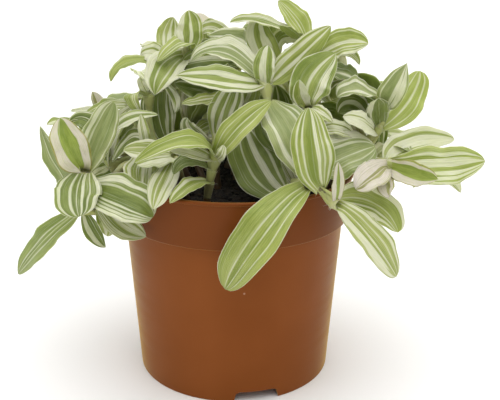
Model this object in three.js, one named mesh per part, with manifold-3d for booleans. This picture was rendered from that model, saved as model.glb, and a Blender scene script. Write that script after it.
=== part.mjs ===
// A variegated tradescantia in a moulded nursery pot.
// Millimetres, +Z up. The origin is the centre of the pot at the surface it stands on.
import * as THREE from "three";
import { mergeVertices } from "three/addons/utils/BufferGeometryUtils.js";
import Module from "manifold-3d";

const wasm = await Module();
wasm.setup();

// ---- Driving dimensions: pot ----
const POT_HEIGHT = 105;
const RIM_RADIUS = 60;
const LIP_HEIGHT = 1.6;
const LIP_WIDTH = 0.8;
const LIP_BEVEL = 0.3;
const COLLAR_RADIUS = 57.8; // outside of the collar at its lower edge
const COLLAR_Z = 82;
const COLLAR_TOP = POT_HEIGHT - LIP_HEIGHT;
const BODY_RADIUS = 55.2; // outside of the body, under the collar's step
const BODY_TOP = 81;
const FOOT_RADIUS = 49.5;
const WALL = 1.6;
const INNER_STEP = 2; // the step inside the wall runs this far above and below the collar's edge
const FOOT_WALL = 2.2;
const BASE_UNDERSIDE = 5.6; // the base plate is raised above the foot ring
const BASE_TOP = 7.2;
const POT_SIDES = 48;

const FOOT_NOTCHES = 3;
const NOTCH_TURN = -77; // degrees, the notch that shows at the front
const NOTCH_WIDTH = 23;
const NOTCH_HEIGHT = 4.6;
const NOTCH_SLANT = 2.2;
const NOTCH_DEPTH = 8;

const DRAIN_HOLES = 6;
const DRAIN_RADIUS = 4;
const DRAIN_CIRCLE = 30;
const DRAIN_SIDES = 12;

// ---- Driving dimensions: soil ----
const SOIL_TOP = 95;
const SOIL_RELIEF = 0.9;
const SOIL_RINGS = 3;
const SOIL_SIDES = 28;
const CLEAR = 0.3; // gap between pieces that touch
const SLIVER = 0.2; // finer detail than this is dropped from a joined piece

// ---- Driving dimensions: stems and leaves ----
const STEM_FOOT_Z = 84; // how deep a stem stands in its hole
const STEM_FOOT_RADIUS = 2.0;
const STEM_TIP_RADIUS = 1.5;
const STEM_SIDES = 5;
const HOLE_TURN = Math.PI / STEM_SIDES + Math.PI / 2; // lines a hole's corners up with its stem's
const STEM_STEPS = 2; // rings between two points of a stem's path
const SHOOT_STEPS = 1; // the same, for the shoots of the back
const BLADE_THICKNESS = 0.8;
const BLADE_STATIONS = [0, 0.2, 0.46, 0.75, 1];
const SHORT_BLADE_STATIONS = [0, 0.3, 0.68, 1];
const SHORT_BLADE_LENGTH = 30;
const BLADE_BASE_SHARE = 0.3; // width at the sheath, as a share of the full width
const BLADE_ROOT_HALF_WIDTH = 0.6; // the root is narrowed to end inside its stem
const BLADE_TIP_HALF_WIDTH = 0.5;
const WIDEST = 0.42; // where along a leaf it is widest
const KEEL = 0.1; // both halves rise from the midrib by this share of the half width
const WAVE = 0.05; // height of the waved edge, as a share of the width
const WAVES = 2.5;

// ---- Leafy stems that show from the front ----
// path: points from the soil up. leaves: [place along the path, middle, tip, width, the way the
// upper face looks, cup, and where it is widest if not WIDEST].
const STEMS = {
  stem_left_front: {
    path: [[-30, -14, 96], [-50, -20, 112], [-63, -27, 98], [-71, -32, 93], [-72, -30, 101], [-70, -30, 111]],
    leaves: [
      [5, [-75, -33, 123.5], [-80, -28, 136], 17, [0.15, -1, 0.25], 0.35],
      [4, [-81.5, -24, 111], [-92, -18, 130], 14.5, [-0.6, -0.75, 0.1], 0.15],
      [5, [-71, -44, 105], [-69, -54, 97], 22, [0, -0.8, 0.6], -0.05],
      [4.3, [-49, -50, 104], [-36, -54, 97], 22, [0.05, -0.75, 0.65], 0.05],
      [4.9, [-64, -23, 127], [-57, -15, 141], 16, [0.45, -0.85, 0.2], 0.1],
      [3, [-91.2, -24, 75.6], [-112, -6, 49], 12.5, [-0.3, -0.85, 0.5], 0.1, 0.56],
      [3, [-67, -33, 82], [-61, -35, 75], 8, [0, -0.9, 0.4], 0.2],
      [2.2, [-60, -34, 88], [-60, -36, 81], 9, [0, -0.9, 0.4], 0.1],
      [2.2, [-52, -40, 88], [-40, -50, 86], 13, [0.1, -0.8, 0.5], 0.1],
    ],
  },
  stem_left_low: {
    path: [[-36, -6, 96], [-49, -9, 111], [-61, -11, 108]],
    leaves: [
      [2, [-56, -13, 128], [-36, -16, 135], 11, [-0.7, -0.4, 0.6], 0.1],
      [2, [-59, -1, 124], [-48, -2, 137], 9, [-0.3, -0.8, 0.5], 0.1],
      [2, [-72, 0, 128], [-82, 0, 128], 8, [-0.2, -0.6, 0.8], 0.1],
      [1.8, [-65, -12, 104], [-73, -13, 102], 14, [0, -0.9, 0.4], 0.1],
    ],
  },
  stem_left_back: {
    path: [[-38, 8, 96], [-47, 9, 118], [-52, 8, 134]],
    leaves: [
      [2, [-64, 8, 134], [-75, 6, 129], 10, [-0.2, -0.5, 0.85], 0.1],
      [2, [-76, 15, 131], [-83, 15, 130], 4, [0, -0.5, 0.9], 0.1],
    ],
  },
  stem_left_bud: {
    path: [[-30, 0, 96], [-41, 1, 122], [-42, 1, 141]],
    leaves: [
      [2, [-45, 2, 146], [-46, 2, 150], 4.5, [0, -1, 0.2], 0.1],
      [2, [-49, -5, 142], [-45, -8, 134], 9, [-0.6, -0.5, 0.7], 0.1],
    ],
  },
  stem_left_inner: {
    path: [[-34, -20, 96], [-41, -22, 118]],
    leaves: [
      [1, [-42, -32, 111], [-41, -47, 107], 19, [0, -0.7, 0.7], 0.05],
      [1, [-42, -24, 128], [-43, -22, 134], 5.5, [0, -1, 0], 0.1],
      [1, [-49, -18, 123], [-54, -20, 120], 4, [0, -0.6, 0.8], 0.1],
    ],
  },
  stem_front_inner: {
    path: [[-23, -22, 96], [-27, -29, 118]],
    leaves: [
      [1, [-39, -31, 121], [-51, -32, 122], 11, [0, -0.8, 0.6], 0.1],
      [1, [-36, -36, 119], [-44, -40, 117], 13, [0, -0.6, 0.8], 0.1],
      [1, [-32, -47, 110], [-35, -61, 103], 12, [0, -0.8, 0.6], 0.1],
    ],
  },
  stem_left_top: {
    path: [[-24, 12, 96], [-36, 13, 122], [-36, 12, 146], [-35, 13, 155], [-23, 16, 160]],
    leaves: [
      [2, [-38, 8, 132], [-33, 4, 115], 15.5, [0, -1, 0.2], 0.05],
      [2, [-29, 0, 140], [-29, -3, 133], 4.8, [0, -1, 0.2], 0.1],
      [4, [-22, 20, 170], [-23, 24, 180], 13.5, [0, -1, 0.1], 0.1],
      [3.3, [-33, 28, 166], [-31, 30, 176], 14, [-0.1, -1, 0.1], 0.1],
      [4, [-26, 6, 166], [-37, -2, 158], 11, [0.1, -0.3, 0.95], 0.1],
      [3.8, [-34, -1, 154], [-38, -8, 143], 16, [-0.1, -0.95, 0.35], 0.1],
      [3, [-53, 9, 156], [-61, 6, 147], 10, [0, -0.45, 0.9], 0.1],
      [3.1, [-43, 15, 158], [-46, 16, 158], 6, [0, -0.8, 0.6], 0.1],
    ],
  },
  stem_back_top: {
    path: [[0, 22, 96], [-1, 27, 130], [4, 26, 160]],
    leaves: [
      [2, [0, 20, 168], [-13, 18, 168], 10, [0, -0.7, 0.7], 0.1],
      [2, [-10, 32, 169], [-17, 32, 167], 11, [0, -0.8, 0.6], 0.1],
      [2, [-13, 22, 163], [-22, 26, 159], 7, [0, -0.6, 0.8], 0.1],
      [1.7, [-11, 13, 158], [-23, 8, 157], 10, [0, -0.9, 0.4], 0.1],
    ],
  },
  stem_centre_top: {
    path: [[14, -8, 96], [17, -13, 120], [16, -16, 140], [15, -13, 148]],
    leaves: [
      [3, [-6, -24, 153], [-26, -30, 156], 12, [0, -0.75, 0.65], 0.1],
      [3, [-4, -6, 163], [-21, -2, 158], 13.5, [-0.1, -0.45, 0.9], 0.3],
      [3, [14, -15, 158], [16, -11, 167], 10.5, [0, -1, 0.15], 0.1],
      [3, [30, -8, 161], [46, -2, 175], 13.5, [0.2, -0.9, 0.3], 0.1],
      [2.1, [25, -36, 131], [33, -42, 111], 22, [0.2, -0.9, 0.4], 0.05],
      [1.8, [14, -18, 128], [20, -23, 119], 9, [0, -1, 0.2], 0.1],
      [1.2, [23, -21, 111], [30, -27, 101], 11, [0, -0.9, 0.4], 0.1],
    ],
  },
  stem_top: {
    path: [[18, 10, 96], [23, 9, 125], [31, 9, 150], [36, 13, 166]],
    leaves: [
      [3, [31, 16, 176], [22, 20, 185], 12.5, [0.2, -0.85, 0.5], 0.1],
      [3, [14, 11, 176], [-2, 9, 175.5], 9, [0, -0.45, 0.9], 0.1],
      [2.9, [28, 5, 172], [22, 1, 175], 8, [0, -0.3, -0.9], 0.1],
      [3, [25, 18, 168], [21, 13, 161], 9, [0, -1, 0.3], 0.1],
      [1.6, [14, 12, 164], [13, 15, 176], 14.5, [0, -1, 0.2], 0.1],
      [1, [22, 2, 136], [20, -2, 147], 12, [0, -1, 0.2], 0.1],
    ],
  },
  stem_right_top: {
    path: [[38, 6, 96], [42, 7, 130], [41, 7, 159]],
    leaves: [
      [2, [53, 4, 166], [65, 2, 166], 15.5, [0.1, -0.8, 0.6], 0.1],
      [2, [56, 11, 161], [62, 8, 155], 5, [0.8, -0.5, 0], 0.1],
      [1.6, [51, 2, 152], [59, -4, 149], 15, [0, -0.4, 0.9], 0.1],
      [0.9, [47, 2, 131], [54, 0, 128], 12, [0, -0.9, 0.4], 0.1],
    ],
  },
  stem_centre_right: {
    path: [[28, -12, 96], [33, -16, 120], [35, -19, 139]],
    leaves: [
      [2, [36, -17, 151], [48, -9, 163], 20, [0.05, -0.95, 0.3], 0.05],
      [1.95, [31, -20, 145], [30, -23, 153], 8, [0, -1, 0.1], 0.2],
      [1.95, [39, -28, 139], [45, -33, 135], 7, [0, -0.7, 0.7], 0.1],
    ],
  },
  stem_middle: {
    path: [[-8, -8, 96], [-9, -9, 120], [-4, -4, 142]],
    leaves: [
      [1.1, [-3, -12, 137], [2, -5, 149], 15, [-0.2, -0.95, 0.3], 0.05],
      [1, [6, -7, 135], [14, -10, 145], 10, [-0.3, -0.9, 0.3], 0.1],
      [2, [-14, -6, 141], [-25, -10, 140], 6.5, [0, -0.3, 0.95], 0.1],
      [2, [-18, 6, 143], [-29, -1, 147], 13, [0, -0.6, 0.8], 0.1],
      [0.9, [-21, -14, 127], [-22, -14, 133], 8, [0, -1, 0.2], 0.1],
    ],
  },
  stem_front_left: {
    path: [[-13, -33, 96], [-11, -34, 108], [-9, -34, 118]],
    leaves: [
      [1.4, [-21, -41, 119], [-27, -45, 114], 8, [0, -0.5, 0.8], 0.1],
      [0.9, [-19, -48, 110], [-28, -59, 105], 9, [0, -0.5, 0.85], 0.1],
      [2, [-20, -47, 130], [-44, -51, 121], 12, [0, -0.5, 0.85], 0.15],
      [1.9, [-20, -44, 125], [-29, -46, 126], 8, [0, -0.8, 0.6], 0.1],
      [2, [2, -36, 134], [17, -27, 144], 12.5, [-0.15, -0.9, 0.4], 0.1],
      [2, [-6, -40, 122], [-5, -39, 126], 5, [0, -1, 0.2], 0.2],
    ],
  },
  stem_front: {
    path: [[22, -31, 96], [30, -44, 109], [38, -51, 108.5], [45, -53, 103]],
    leaves: [
      [0.3, [10, -22, 112], [4, -12, 130], 24, [0, -0.9, 0.4], 0.05],
      [2, [34, -53, 127], [33, -43, 144], 19, [0, -1, 0.2], 0.05],
      [1.3, [12, -71, 97], [-4, -63, 66], 20.5, [-0.1, -0.85, 0.5], 0.05, 0.58],
      [2.9, [59.5, -57, 90], [75, -50, 66.5], 15, [0.1, -0.85, 0.6], 0.1, 0.62],
      [2.7, [64, -40, 98], [75, -47, 87], 19, [0.1, -0.7, 0.7], 0.05],
      [3, [45, -58, 113], [45, -57, 123], 6, [0.3, -1, 0], 0.2],
    ],
  },
  stem_front_right: {
    path: [[33, -26, 96], [38, -33, 112], [39, -26, 129]],
    leaves: [
      [1, [51, -33, 120], [66, -25, 122], 24, [0, -0.75, 0.65], 0.05],
      [2, [48, -27, 131], [57, -26, 126], 8.5, [0, -0.7, 0.7], 0.1],
    ],
  },
  stem_right_upper: {
    path: [[46, -6, 96], [62, -8, 118], [70, -9, 126], [73, -7, 138]],
    leaves: [
      [3, [59, -12, 145], [49, -14, 143], 17, [0, -0.35, 0.95], 0.3],
      [3, [65, 3, 145], [55, 5, 145], 14, [0, -1, -0.1], 0.1],
      [2.8, [75.5, -14, 147], [81.5, -12, 159], 13, [-0.3, -0.95, 0.1], 0.2],
      [2, [85.3, 2, 138], [92.2, 8, 152], 17, [0.1, -0.95, 0.3], 0.05],
      [2.1, [68, -14, 136], [67, -22, 144], 13, [0, -0.9, 0.3], -0.1],
      [1.8, [57, -8, 136], [50, -12, 135], 15, [0, -0.7, 0.75], 0.05],
      [1.8, [60, -25, 133], [50, -29, 137], 11, [0, -0.8, 0.6], 0.1],
    ],
  },
  stem_right: {
    path: [[44, -18, 96], [56, -23, 113], [72, -28, 114]],
    leaves: [
      [1.8, [85, -18, 121], [103, -21, 122.5], 13, [0, -0.7, 0.7], 0.1],
      [2, [95, -36, 115], [112, -46, 120.5], 20, [0, -0.8, 0.6], 0.05],
      [1.9, [99, -12, 107], [112, -12, 95], 8, [0, -1, 0.2], 0.1],
      [2, [81, -45, 113], [89, -56, 115], 12, [0, -0.9, 0.45], 0.35],
      [2, [62, -46, 114], [54, -51, 109], 14, [-0.2, -0.85, 0.45], 0.05],
      [1.95, [68, -42, 109], [70, -47, 104], 10, [0.1, -0.9, 0.4], 0.05],
    ],
  },
};

// ---- Shoots of the back and the inside, laid out by a rule ----
// [azimuth, distance from the axis, height of the tip, turn of the whorl, leaves, seed, bend,
// scale of the leaves, leaves left out because a neighbour is in their place]
const SHOOTS = {
  stem_back_right_low: [26, 80, 106, 33, 6, 43, 0, 0.95, [1]],
  stem_back_right: [42, 63, 132, 277, 7, 357, -10, 1, [0]],
  stem_back_mid_right: [63, 47, 145, 127, 7, 205, 2, 1, [1, 3]],
  stem_back_mid_left: [121, 49, 148, 120, 7, 51, -16, 1, []],
  stem_back_left: [146, 62, 135, 46, 7, 57, -16, 1, [0]],
  stem_back_left_low: [157, 70, 111, 135, 6, 63, 7, 0.95, [1]],
  stem_rim_right: [63, 62, 114, 350, 6, 27, -1, 0.8, []],
  stem_rim_back: [96, 53, 112, 189, 6, 395, -11, 0.75, []],
  stem_rim_left: [130, 64, 107, 63, 6, 139, -9, 0.8, []],
  stem_inner_left: [155, 28, 120, 257, 6, 327, -13, 0.8, [0, 1, 2]],
  stem_inner_mid: [84, 18, 124, 220, 6, 74, -18, 0.8, [2]],
  stem_inner_right: [10, 35, 129, 168, 6, 358, -15, 0.8, [0, 2, 3]],
  stem_side_right: [-5, 75, 107, 14, 5, 266, 10, 0.75, [4]],
  stem_side_left: [176, 87, 100, 350, 5, 144, 0, 0.7, [4]],
};
const SHOOT_FOOT_SHARE = 0.62; // foot of a stem, as a share of how far its tip is out
const SHOOT_FOOT_LIMIT = 40;
const RIM_CROSSING = [50, 112]; // where a low stem passes over the rim: radius, height
const LOW_TIP = 112;
const FIRST_LEAF_PLACE = 1.55;
const LEAF_PLACE_RANGE = 0.45;
const LEAF_DIVERGENCE = 144;

// ---- Materials ----
const terracotta = new THREE.MeshStandardMaterial({ color: 0x96502c, roughness: 0.5, metalness: 0 });
const peat = new THREE.MeshStandardMaterial({ color: 0x1f1712, roughness: 1, metalness: 0 });
const leafGreen = new THREE.MeshStandardMaterial({ color: 0xa9bf84, roughness: 0.6, metalness: 0 });

// ---- Helpers ----
const radians = (degrees) => (degrees * Math.PI) / 180;
const vector = (xyz) => new THREE.Vector3(...xyz);

// Repeatable value from 0 to 1 for a whole number.
function scatter(k) {
  const x = Math.sin(k * 12.9898) * 43758.5453;
  return x - Math.floor(x);
}

// Point at place s along a smooth path through the given points.
function pathPoint(path, s) {
  const last = path.length - 1;
  const i = Math.min(Math.floor(s), last - 1);
  const f = s - i;
  const [p0, p1, p2, p3] = [Math.max(i - 1, 0), i, i + 1, Math.min(i + 2, last)].map((k) => path[k]);
  const along = (a, b, c, d) =>
    0.5 * (2 * b + (c - a) * f + (2 * a - 5 * b + 4 * c - d) * f * f + (3 * b - a - 3 * c + d) * f ** 3);
  return new THREE.Vector3(
    along(p0[0], p1[0], p2[0], p3[0]),
    along(p0[1], p1[1], p2[1], p3[1]),
    along(p0[2], p1[2], p2[2], p3[2]),
  );
}

// Closed body through a list of rings with the same number of points, capped at both ends.
function loft(rings) {
  const count = rings[0].length;
  const points = rings.flat().flatMap((p) => [p.x, p.y, p.z]);
  const index = [];
  for (let r = 0; r < rings.length - 1; r++) {
    for (let k = 0; k < count; k++) {
      const a = r * count + k;
      const b = r * count + ((k + 1) % count);
      index.push(a, b, b + count, a, b + count, a + count);
    }
  }
  const top = (rings.length - 1) * count;
  for (let k = 1; k < count - 1; k++) {
    index.push(0, k + 1, k, top, top + k, top + k + 1);
  }
  const geometry = new THREE.BufferGeometry();
  geometry.setAttribute("position", new THREE.Float32BufferAttribute(points, 3));
  geometry.setIndex(index);
  return geometry;
}

function toSolid(geometry) {
  const bare = geometry.clone();
  bare.deleteAttribute("normal");
  bare.deleteAttribute("uv");
  const merged = mergeVertices(bare, 1e-4);
  const vertProperties = Float32Array.from(merged.attributes.position.array);
  const triVerts = Uint32Array.from(merged.index.array);
  const solid = new wasm.Manifold(new wasm.Mesh({ numProp: 3, vertProperties, triVerts }));
  return solid.volume() < 0 ? solid.mirror([1, 0, 0]).mirror([1, 0, 0]) : solid;
}

// Solid without slivers, and without crumbs that the joining left beside it.
function tidied(solid) {
  const bodies = solid.simplify(SLIVER).decompose();
  bodies.sort((a, b) => b.volume() - a.volume());
  return bodies[0];
}

function toGeometry(solid) {
  const mesh = solid.getMesh();
  const geometry = new THREE.BufferGeometry();
  geometry.setAttribute("position", new THREE.Float32BufferAttribute(mesh.vertProperties, 3));
  geometry.setIndex(Array.from(mesh.triVerts));
  geometry.computeVertexNormals();
  return geometry;
}

function namedMesh(name, geometry, material) {
  const mesh = new THREE.Mesh(geometry, material);
  mesh.name = name;
  return mesh;
}

// ---- Pot ----
function potProfile() {
  const outside = [
    [FOOT_RADIUS, 0],
    [BODY_RADIUS, BODY_TOP],
    [COLLAR_RADIUS, COLLAR_Z],
    [RIM_RADIUS - LIP_WIDTH, COLLAR_TOP],
    [RIM_RADIUS, COLLAR_TOP + LIP_BEVEL],
    [RIM_RADIUS, POT_HEIGHT],
  ];
  const inside = [
    [collarInside(POT_HEIGHT), POT_HEIGHT],
    [collarInside(COLLAR_Z + INNER_STEP), COLLAR_Z + INNER_STEP],
    [bodyInside(COLLAR_Z - INNER_STEP), COLLAR_Z - INNER_STEP],
    [bodyInside(BASE_TOP), BASE_TOP],
    [0, BASE_TOP],
    [0, BASE_UNDERSIDE],
    [FOOT_RADIUS - FOOT_WALL, BASE_UNDERSIDE],
    [FOOT_RADIUS - FOOT_WALL, 0],
  ];
  return [...outside, ...inside, outside[0]].map(([r, z]) => new THREE.Vector2(r, z));
}

// Inside radius of the body's wall at height z.
function bodyInside(z) {
  return FOOT_RADIUS - WALL + ((BODY_RADIUS - FOOT_RADIUS) * z) / BODY_TOP;
}

// Inside radius of the collar's wall at height z.
function collarInside(z) {
  const flare = (RIM_RADIUS - LIP_WIDTH - COLLAR_RADIUS) / (COLLAR_TOP - COLLAR_Z);
  return COLLAR_RADIUS - WALL + flare * (z - COLLAR_Z);
}

// Lathe about Z: three.js turns a profile about its Y axis.
function turned(profile, sides) {
  return new THREE.LatheGeometry(profile, sides).rotateX(Math.PI / 2);
}

// Upright drill from height bottom to height top.
function drill(x, y, bottom, top, radius, sides) {
  const cylinder = new THREE.CylinderGeometry(radius, radius, top - bottom, sides);
  return cylinder.rotateX(Math.PI / 2).translate(x, y, (top + bottom) / 2);
}

// Block with slanted sides that cuts one notch through the foot ring.
function notchCutter(angle) {
  const half = NOTCH_WIDTH / 2;
  const outline = new THREE.Shape();
  outline.moveTo(-half, -1);
  outline.lineTo(half, -1);
  outline.lineTo(half - NOTCH_SLANT, NOTCH_HEIGHT);
  outline.lineTo(-half + NOTCH_SLANT, NOTCH_HEIGHT);
  outline.closePath();
  const block = new THREE.ExtrudeGeometry(outline, { depth: NOTCH_DEPTH, bevelEnabled: false });
  block.rotateX(Math.PI / 2); // outline stands up, depth runs along -Y
  block.rotateZ(Math.PI / 2); // depth now runs along +X, outwards
  block.translate(FOOT_RADIUS - (FOOT_WALL + NOTCH_DEPTH) / 2, 0, 0);
  return block.rotateZ(radians(angle));
}

function makePot() {
  let pot = toSolid(turned(potProfile(), POT_SIDES));
  for (let i = 0; i < FOOT_NOTCHES; i++) {
    pot = pot.subtract(toSolid(notchCutter(NOTCH_TURN + (i * 360) / FOOT_NOTCHES)));
  }
  for (let i = 0; i < DRAIN_HOLES; i++) {
    const angle = (i + 0.5) * ((2 * Math.PI) / DRAIN_HOLES);
    const [x, y] = [DRAIN_CIRCLE * Math.cos(angle), DRAIN_CIRCLE * Math.sin(angle)];
    pot = pot.subtract(toSolid(drill(x, y, 0, 2 * BASE_TOP, DRAIN_RADIUS, DRAIN_SIDES)));
  }
  return toGeometry(pot);
}

// ---- Soil ----
function makeSoil(feet) {
  const bottom = BASE_TOP + CLEAR;
  const topRadius = collarInside(SOIL_TOP) - CLEAR;
  const profile = [
    [0, bottom],
    [bodyInside(bottom) - CLEAR, bottom],
    [bodyInside(COLLAR_Z - INNER_STEP) - CLEAR, COLLAR_Z - INNER_STEP],
    [collarInside(COLLAR_Z + INNER_STEP) - CLEAR, COLLAR_Z + INNER_STEP + CLEAR],
    [topRadius, SOIL_TOP],
  ];
  for (let i = SOIL_RINGS - 1; i >= 0; i--) {
    profile.push([(topRadius * i) / SOIL_RINGS, SOIL_TOP]);
  }
  const soil = turned(profile.map(([r, z]) => new THREE.Vector2(r, z)), SOIL_SIDES);
  const p = soil.attributes.position;
  for (let i = 0; i < p.count; i++) {
    const [x, y, z] = [p.getX(i), p.getY(i), p.getZ(i)];
    if (z > SOIL_TOP - CLEAR && Math.hypot(x, y) < topRadius - CLEAR) {
      const bump = Math.sin(x * 0.31) * Math.cos(y * 0.27) + 0.5 * Math.sin(x * 0.5 + y * 0.6);
      p.setZ(i, z + SOIL_RELIEF * bump);
    }
  }
  let solid = toSolid(soil);
  for (const [x, y] of feet) {
    const hole = drill(0, 0, STEM_FOOT_Z - CLEAR, POT_HEIGHT, STEM_FOOT_RADIUS + 1.5 * CLEAR, STEM_SIDES);
    hole.rotateZ(HOLE_TURN).translate(x, y, 0);
    solid = solid.subtract(toSolid(hole));
  }
  return toGeometry(solid);
}

// ---- Stems ----
// Hexagonal stem along its path, with a straight foot that stands in the soil.
function stemSolid(path, steps) {
  const points = [vector([path[0][0], path[0][1], STEM_FOOT_Z])];
  const last = path.length - 1;
  for (let i = 0; i <= last * steps; i++) {
    points.push(pathPoint(path, i / steps));
  }
  let across = new THREE.Vector3(1, 0, 0);
  const rings = points.map((point, i) => {
    const before = points[Math.max(i - 1, 0)];
    const after = points[Math.min(i + 1, points.length - 1)];
    const along = i < 2 ? new THREE.Vector3(0, 0, 1) : after.clone().sub(before).normalize();
    across = across.clone().addScaledVector(along, -across.dot(along)).normalize();
    const side = along.clone().cross(across);
    const radius = THREE.MathUtils.lerp(STEM_FOOT_RADIUS, STEM_TIP_RADIUS, i / (points.length - 1));
    return Array.from({ length: STEM_SIDES }, (_, k) => {
      const angle = ((k + 0.5) * 2 * Math.PI) / STEM_SIDES;
      const corner = point.clone().addScaledVector(across, radius * Math.cos(angle));
      return corner.addScaledVector(side, radius * Math.sin(angle));
    });
  });
  return toSolid(loft(rings));
}

// ---- Leaves ----
// Share of the full half width at place t, from the sheath at 0 to the pointed tip at 1.
function bladeShare(t, widest) {
  if (t < widest) {
    const rise = Math.sin((t / widest) * (Math.PI / 2)) ** 1.2;
    return BLADE_BASE_SHARE + (1 - BLADE_BASE_SHARE) * rise;
  }
  const s = (t - widest) / (1 - widest);
  return (1 - s ** 2.4) ** 0.68;
}

// A blade bent along one arc from its base through its middle to its tip.
function bladeSolid(base, { middle, tip, width, facing, cup, widest }) {
  const pull = middle.clone().multiplyScalar(2).addScaledVector(base, -0.5).addScaledVector(tip, -0.5);
  const first = pull.clone().sub(base);
  const second = tip.clone().sub(pull);
  const chord = tip.clone().sub(base);
  let binormal = first.clone().cross(second);
  if (binormal.length() < 1e-3 * chord.lengthSq()) {
    binormal = chord.clone().cross(facing);
  }
  binormal.normalize();
  const slopeAt = (t) => first.clone().multiplyScalar(1 - t).addScaledVector(second, t).normalize();
  const midSlope = slopeAt(0.5);
  const roll = Math.atan2(facing.dot(binormal), facing.dot(binormal.clone().cross(midSlope)));
  const stations = chord.length() < SHORT_BLADE_LENGTH ? SHORT_BLADE_STATIONS : BLADE_STATIONS;
  const rings = stations.map((t) => {
    const centre = base.clone().multiplyScalar((1 - t) ** 2)
      .addScaledVector(pull, 2 * t * (1 - t)).addScaledVector(tip, t * t);
    const slope = slopeAt(t);
    const up = binormal.clone().cross(slope).multiplyScalar(Math.cos(roll));
    up.addScaledVector(binormal, Math.sin(roll));
    const side = slope.clone().cross(up);
    const share = (bladeShare(t, widest) * width) / 2;
    const half = t === 0 ? BLADE_ROOT_HALF_WIDTH : Math.max(share, BLADE_TIP_HALF_WIDTH);
    const at = (u, offset) => {
      const wave = WAVE * width * u * Math.sin(2 * Math.PI * WAVES * t) * Math.sin(Math.PI * t);
      const rise = half * (cup * u * u + KEEL * Math.abs(u)) + wave + offset;
      return centre.clone().addScaledVector(side, half * u).addScaledVector(up, rise);
    };
    const t2 = BLADE_THICKNESS / 2;
    return [at(-1, t2), at(0, t2), at(1, t2), at(1, -t2), at(0, -t2), at(-1, -t2)];
  });
  return toSolid(loft(rings));
}

// ---- Leafy stems ----
function laidLeaf([place, middle, tip, width, facing, cup, widest = WIDEST]) {
  const [mid, end, face] = [middle, tip, facing].map(vector);
  return { place, middle: mid, tip: end, width, facing: face.normalize(), cup, widest };
}

// Path and leaves of a shoot laid out by the rule: old leaves low and drooping, young ones upright.
function ruledShoot([azimuth, out, height, turn, count, seed, bend, scale, skipped]) {
  const outward = (degrees) => vector([Math.cos(radians(degrees)), Math.sin(radians(degrees)), 0]);
  const aim = outward(azimuth);
  const lean = outward(azimuth + bend);
  const footOut = Math.min(SHOOT_FOOT_SHARE * out, SHOOT_FOOT_LIMIT);
  const foot = aim.clone().multiplyScalar(footOut).setZ(SOIL_TOP + 1);
  const end = lean.clone().multiplyScalar(out).setZ(height);
  const knee = foot.clone().add(end).multiplyScalar(0.5).addScaledVector(aim, 3);
  knee.setZ(SOIL_TOP + 1 + (height - SOIL_TOP - 1) * 0.55);
  const overRim = aim.clone().multiplyScalar(RIM_CROSSING[0]).setZ(RIM_CROSSING[1]);
  const path = [foot, height < LOW_TIP ? overRim : knee, end].map((p) => [p.x, p.y, p.z]);
  const leaves = [];
  for (let k = 0; k < count; k++) {
    if (skipped.includes(k)) continue;
    const youth = k / (count - 1);
    const length = scale * (48 - 20 * youth + 6 * (scatter(seed + k) - 0.5));
    const heading = outward(turn + LEAF_DIVERGENCE * k + 24 * (scatter(seed + 80 + k) - 0.5));
    const droop = 14 + 16 * heading.dot(lean) * (1 - youth);
    const rise = 84 * youth ** 1.3 - droop + 10 * (scatter(seed + 40 + k) - 0.5);
    const [flat, steep] = [Math.cos(radians(rise)), Math.sin(radians(rise))];
    const place = FIRST_LEAF_PLACE + LEAF_PLACE_RANGE * youth;
    const base = pathPoint(path, place);
    const tip = base.clone().addScaledVector(heading, length * flat).add(vector([0, 0, length * steep]));
    const middle = base.clone().add(tip).multiplyScalar(0.5);
    middle.addScaledVector(heading, -0.05 * length * steep).add(vector([0, 0, 0.13 * length * flat]));
    const facing = heading.clone().multiplyScalar(-steep).setZ(flat);
    const width = (0.36 + 0.05 * scatter(seed + 120 + k)) * length * (1 - 0.12 * youth);
    leaves.push({ place, middle, tip, width, facing, cup: 0.1 + 0.25 * youth, widest: WIDEST });
  }
  return { path, leaves, steps: SHOOT_STEPS };
}

function leafyStem({ path, leaves, steps = STEM_STEPS }) {
  const parts = leaves.map((leaf) => bladeSolid(pathPoint(path, leaf.place), leaf));
  return toGeometry(tidied(wasm.Manifold.union([stemSolid(path, steps), ...parts])));
}

// ---- The plant ----
const plant = new THREE.Group();
plant.name = "potted_tradescantia";

const leafyStems = [
  ...Object.entries(STEMS).map(([name, { path, leaves }]) => [name, { path, leaves: leaves.map(laidLeaf) }]),
  ...Object.entries(SHOOTS).map(([name, shoot]) => [name, ruledShoot(shoot)]),
];

plant.add(namedMesh("pot", makePot(), terracotta));
plant.add(namedMesh("soil", makeSoil(leafyStems.map(([, { path }]) => path[0])), peat));
for (const [name, stem] of leafyStems) {
  plant.add(namedMesh(name, leafyStem(stem), leafGreen));
}

export default plant;
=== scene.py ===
"""A variegated tradescantia in a terracotta-coloured nursery pot.

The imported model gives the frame: a pot, its soil, and one node for each leafy stem. This script
dresses it. The pot and the soil are turned and modelled finely, and every leafy stem is grown
again on the same path with the same leaves, as thin blades with waved edges, sheaths that clasp
the stem, swollen joints and hairs. The stripes, veins and tints are procedural materials.

Shapes are in millimetres, in the frame's own axes. Finishes and the studio are in metres.
"""

import logging
import math
from collections.abc import Callable
from dataclasses import dataclass, field
from enum import Enum

import bmesh
import bpy
import numpy as np
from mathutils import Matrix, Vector, noise


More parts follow.
